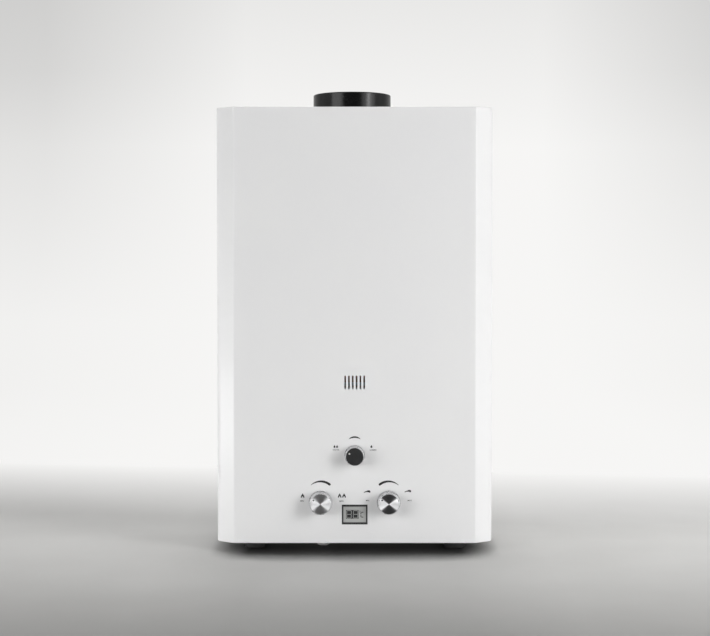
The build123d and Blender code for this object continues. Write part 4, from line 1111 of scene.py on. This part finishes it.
@dataclass
class Studio:
    """Camera, soft lamps, and one sweep that is both the pale floor and the wall behind.

    The wall stands well back, so that a camera behind the heater is still in front of it.
    """

    eye_height: float = 0.366
    distance: float = 2.0
    front_y: float = -0.0665
    pitch: float = 1.975
    focal_px: float = 1590.0
    image_width: int = 710
    wall_y: float = 3.20
    wall_top: float = 11.1
    half_width: float = 14.0
    floor_near: float = -14.0
    cove: float = 0.80
    shadow_reach: float = 0.10
    side_glow: Point = (0.03, 0.78)
    back_glow: Point = (0.0, 0.20)
    far_floor: tuple[Colour, Colour] = ((0.87, 0.866, 0.850), (0.81, 0.806, 0.790))
    near_floor: tuple[Colour, Colour] = ((0.27, 0.268, 0.261), (0.24, 0.238, 0.231))
    floor_fade: Point = (0.02, -0.66)
    # Painted shadow under and just in front of the heater: its tone, the occlusion span that places it, and
    # its reach to the sides.
    painted_shadow_tone: Colour = (0.05, 0.05, 0.049)
    painted_shadow_open: Point = (0.70, 0.82)
    painted_shadow_sides: Point = (0.135, 0.185)
    wall_colour: Colour = (0.925, 0.92, 0.91)
    wall_middle: float = 0.131
    wall_rise: Point = (0.19, 0.75)
    wall_lean: float = 0.15
    front_rise: Point = (-2.4, -3.6)
    lamps: tuple[Lamp, ...] = (
        Lamp("panel_left", (-1.30, -0.42, 0.00), (0.9, 0.8), 2.5),
        Lamp("low_left", (-0.95, -0.30, 0.06), (0.5, 0.25), 1.9),
        Lamp("low_right", (0.95, -0.30, 0.06), (0.5, 0.25), 0.4),
        Lamp("strip_right", (1.06, -0.90, 0.45), (0.16, 1.4), 6.0),
        Lamp("big_right", (1.50, -1.00, 0.40), (0.9, 1.3), 8.3),
        Lamp("wide_left", (-2.20, -2.20, 0.70), (1.8, 1.8), 35.0),
        Lamp("wide_right", (2.20, -2.20, 0.70), (1.8, 1.8), 18.0),
        Lamp("top", (0.00, 0.16, 1.70), (0.5, 0.3), 5.0),
    )

    def camera(self) -> None:
        """Put the camera in front of the panel, a little above its middle, looking slightly down."""
        data = bpy.data.cameras.new("camera")
        data.sensor_width = 36.0
        data.lens = self.focal_px * data.sensor_width / self.image_width
        data.clip_end = 50.0
        holder = bpy.data.objects.new("camera", data)
        holder.location = (0.0004, self.front_y - self.distance, self.eye_height)
        holder.rotation_euler = (math.radians(90.0 - self.pitch), 0.0, 0.0)
        bpy.context.scene.collection.objects.link(holder)
        bpy.context.scene.camera = holder

    def sweep(self) -> bpy.types.Object:
        """Floor, cove and wall in one smooth sheet."""
        shape = bmesh.new()
        half, steps = self.half_width, 24
        profile = [(self.floor_near, 0.0), (-1.5, 0.0), (-0.3, 0.0), (self.wall_y - self.cove, 0.0)]
        for i in range(1, steps + 1):
            turn = math.pi / 2 * i / steps
            run, lift = self.cove * math.sin(turn), self.cove * (1 - math.cos(turn))
            profile.append((self.wall_y - self.cove + run, lift))
        profile.append((self.wall_y, self.wall_top))
        rows = [[shape.verts.new((x, y, z)) for x in (-half, half)] for y, z in profile]
        for low, high in zip(rows, rows[1:]):
            shape.faces.new((low[0], low[1], high[1], high[0]))
        mesh = bpy.data.meshes.new("sweep")
        shape.to_mesh(mesh)
        shape.free()
        mesh.shade_smooth()
        mesh.materials.append(self.sweep_material())
        made = bpy.data.objects.new("sweep", mesh)
        bpy.context.scene.collection.objects.link(made)
        return made

    def floor_tone(self, tree: ShaderTree) -> bpy.types.NodeSocket:
        """Mottled grey, darker towards the camera; painted shadow before the heater and in the crevice under
        it.
        """
        mottle = tree.span(tree.noise(0.22, detail=5.0), 0.3, 0.7)
        far = tree.blend(mottle, *self.far_floor)
        near = tree.blend(mottle, *self.near_floor)
        tone = tree.blend(tree.span(tree.axis("Y"), *self.floor_fade), far, near)
        aside = tree.maths("ABSOLUTE", tree.axis("X"), 0.0)
        # Painted shadow: darker in a lane along the heater's middle; also a little darker towards the left.
        share = tree.maths("MULTIPLY", tree.span(tree.axis("X"), -0.45, 0.45, 0.88, 1.0),
                           tree.span(aside, 0.12, 0.24, 0.84, 1.0))
        tone = tree.blend(share, (0.0, 0.0, 0.0), tone)
        # Painted contact shadow: the dark tone where occlusion is high, kept within the heater's width.
        occlusion_probe = tree.nodes.new("ShaderNodeAmbientOcclusion")
        occlusion_probe.samples = 8
        occlusion_probe.inputs["Distance"].default_value = self.shadow_reach
        unshadowed = tree.maths("MAXIMUM", tree.span(occlusion_probe.outputs["AO"], *self.painted_shadow_open),
                              tree.span(aside, *self.painted_shadow_sides))
        return tree.blend(unshadowed, self.painted_shadow_tone, tone)

    def wall_strength(self, tree: ShaderTree) -> bpy.types.NodeSocket:
        """Painted shade on the wall's glow: even, softly dimmer towards the top and its corners."""
        side = tree.maths("ABSOLUTE", tree.maths("ADD", tree.axis("X"), -self.wall_middle), 0.0)
        corner = tree.maths("MULTIPLY", tree.span(side, 0.49, 1.15, 0.0, 0.23),
                            tree.span(tree.axis("Z"), 0.18, 1.00, 0.2, 1.0))
        top = tree.span(tree.axis("Z"), 0.75, 1.24, 0.0, 0.12)
        return tree.maths("MULTIPLY", tree.maths("SUBTRACT", 1.0, corner), tree.maths("SUBTRACT", 1.0, top))

    def sweep_material(self) -> bpy.types.Material:
        """Grey floor that takes shadows, fading into a pale wall, and to pale again far in front."""
        tree = ShaderTree("sweep")
        tree.drive("Base Color", self.floor_tone(tree))
        tree.constant(Roughness=0.6)
        tree.relief(tree.noise(0.004, detail=3.0), 0.0002, 0.4)
        wall = tree.nodes.new("ShaderNodeEmission")
        wall.inputs["Color"].default_value = (*self.wall_colour, 1.0)
        tree.links.new(self.wall_strength(tree), wall.inputs["Strength"])
        rays = tree.nodes.new("ShaderNodeLightPath").outputs
        seen = tree.maths("MAXIMUM", rays["Is Camera Ray"],
                          tree.maths("MAXIMUM", rays["Is Glossy Ray"], rays["Is Transmission Ray"]))
        lean = tree.maths("ADD", tree.axis("Y"), tree.maths("MULTIPLY", tree.axis("X"), self.wall_lean))
        rise = tree.maths("MAXIMUM", tree.span(lean, *self.wall_rise),
                          tree.span(tree.axis("Y"), *self.front_rise))
        mixer = tree.nodes.new("ShaderNodeMixShader")
        tree.links.new(tree.maths("MULTIPLY", seen, rise), mixer.inputs[0])
        tree.links.new(tree.shader.outputs["BSDF"], mixer.inputs[1])
        tree.links.new(wall.outputs["Emission"], mixer.inputs[2])
        tree.links.new(mixer.outputs["Shader"], tree.output.inputs["Surface"])
        return tree.material

    def world(self) -> None:
        """Soft surround: dim behind the camera, brighter to both sides and behind the heater."""
        world = bpy.data.worlds.new("surround")
        world.use_nodes = True
        nodes, links = world.node_tree.nodes, world.node_tree.links
        back = nodes["Background"]
        split = nodes.new("ShaderNodeSeparateXYZ")
        links.new(nodes.new("ShaderNodeTexCoord").outputs["Generated"], split.inputs["Vector"])
        aside = nodes.new("ShaderNodeMath")
        aside.operation = "ABSOLUTE"
        links.new(split.outputs["X"], aside.inputs[0])
        total = nodes.new("ShaderNodeMath")
        total.operation = "ADD"
        for socket, source, low, high, glow in (
            (total.inputs[0], aside.outputs["Value"], 0.40, 0.65, self.side_glow),
            (total.inputs[1], split.outputs["Y"], -0.6, 0.6, self.back_glow),
        ):
            ranger = nodes.new("ShaderNodeMapRange")
            labels = ("From Min", "From Max", "To Min", "To Max")
            for label, value in zip(labels, (low, high, *glow)):
                ranger.inputs[label].default_value = value
            links.new(source, ranger.inputs["Value"])
            links.new(ranger.outputs["Result"], socket)
        links.new(total.outputs["Value"], back.inputs["Strength"])
        back.inputs["Color"].default_value = (1.0, 1.0, 1.0, 1.0)
        bpy.context.scene.world = world

    def build(self) -> None:
        """Set the scene up."""
        bpy.context.scene.view_settings.view_transform = "Standard"
        self.camera()
        self.sweep()
        self.world()
        for lamp in self.lamps:
            lamp.light()


def side_screws() -> CrossScrews:
    """The four screws that hold the cover to the back panel; they stand for the plain ones."""
    low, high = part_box("case_screws")
    radius, head = 3.5 * MM, 1.2 * MM
    y = (low.y + high.y) / 2
    places = [(x, y, z) for x in (low.x + head, high.x - head) for z in (low.z + radius, high.z - radius)]
    facings = [(math.copysign(1.0, x), 0.0, 0.0) for x, _, _ in places]
    return CrossScrews("cover_screw_heads", "case_screws", "screw_steel", places, facings)


def main() -> None:
    """Dress the frame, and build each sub-assembly in order."""
    logging.basicConfig(level=logging.INFO, format="%(name)s: %(message)s")
    Studio().build()
    wardrobe = Wardrobe()
    wardrobe.dress()
    sub_assemblies: list[SubAssembly] = [
        DialPrint(),
        DisplayDigits(),
        PipeEnd("hot_outlet"),
        PipeEnd("gas_inlet"),
        PipeEnd("cold_inlet"),
        side_screws(),
        GripRibs("gas_knob", "gas_knob_set", "knob_grip", 48, 14.0 * MM, 13.35 * MM, 0.3 * MM,
                 12.0 * MM, (0.0, -1.0, 0.0)),
        GripRibs("water_knob", "water_knob_set", "knob_grip", 48, 14.0 * MM, 13.35 * MM, 0.3 * MM,
                 12.0 * MM, (0.0, -1.0, 0.0)),
        GripRibs("season_knob", "season_knob_set", "knob_grip", 40, 11.5 * MM, 10.95 * MM, 0.25 * MM,
                 11.0 * MM, (0.0, -1.0, 0.0)),
        GripRibs("drain_cap", "drain_cap", "white_plastic", 30, 9.0 * MM, 9.0 * MM, 0.3 * MM,
                 11.0 * MM, (0.0, 0.0, -1.0)),
        KnobTrim("gas_knob", "gas_knob_cap", "gas_knob_set", "knob_black", 9.9 * MM),
        KnobTrim("water_knob", "water_knob_cap", "water_knob_set", "knob_black", 9.9 * MM),
        KnobTrim("season_knob", "season_knob", "season_knob_set", "white_plastic", 7.6 * MM,
                 sleeve=True),
    ]
    for part in sub_assemblies:
        for piece in part.build(wardrobe):
            LOG.info("%s: %d faces", piece.name, len(piece.data.polygons))


if __name__ == "__main__":
    main()
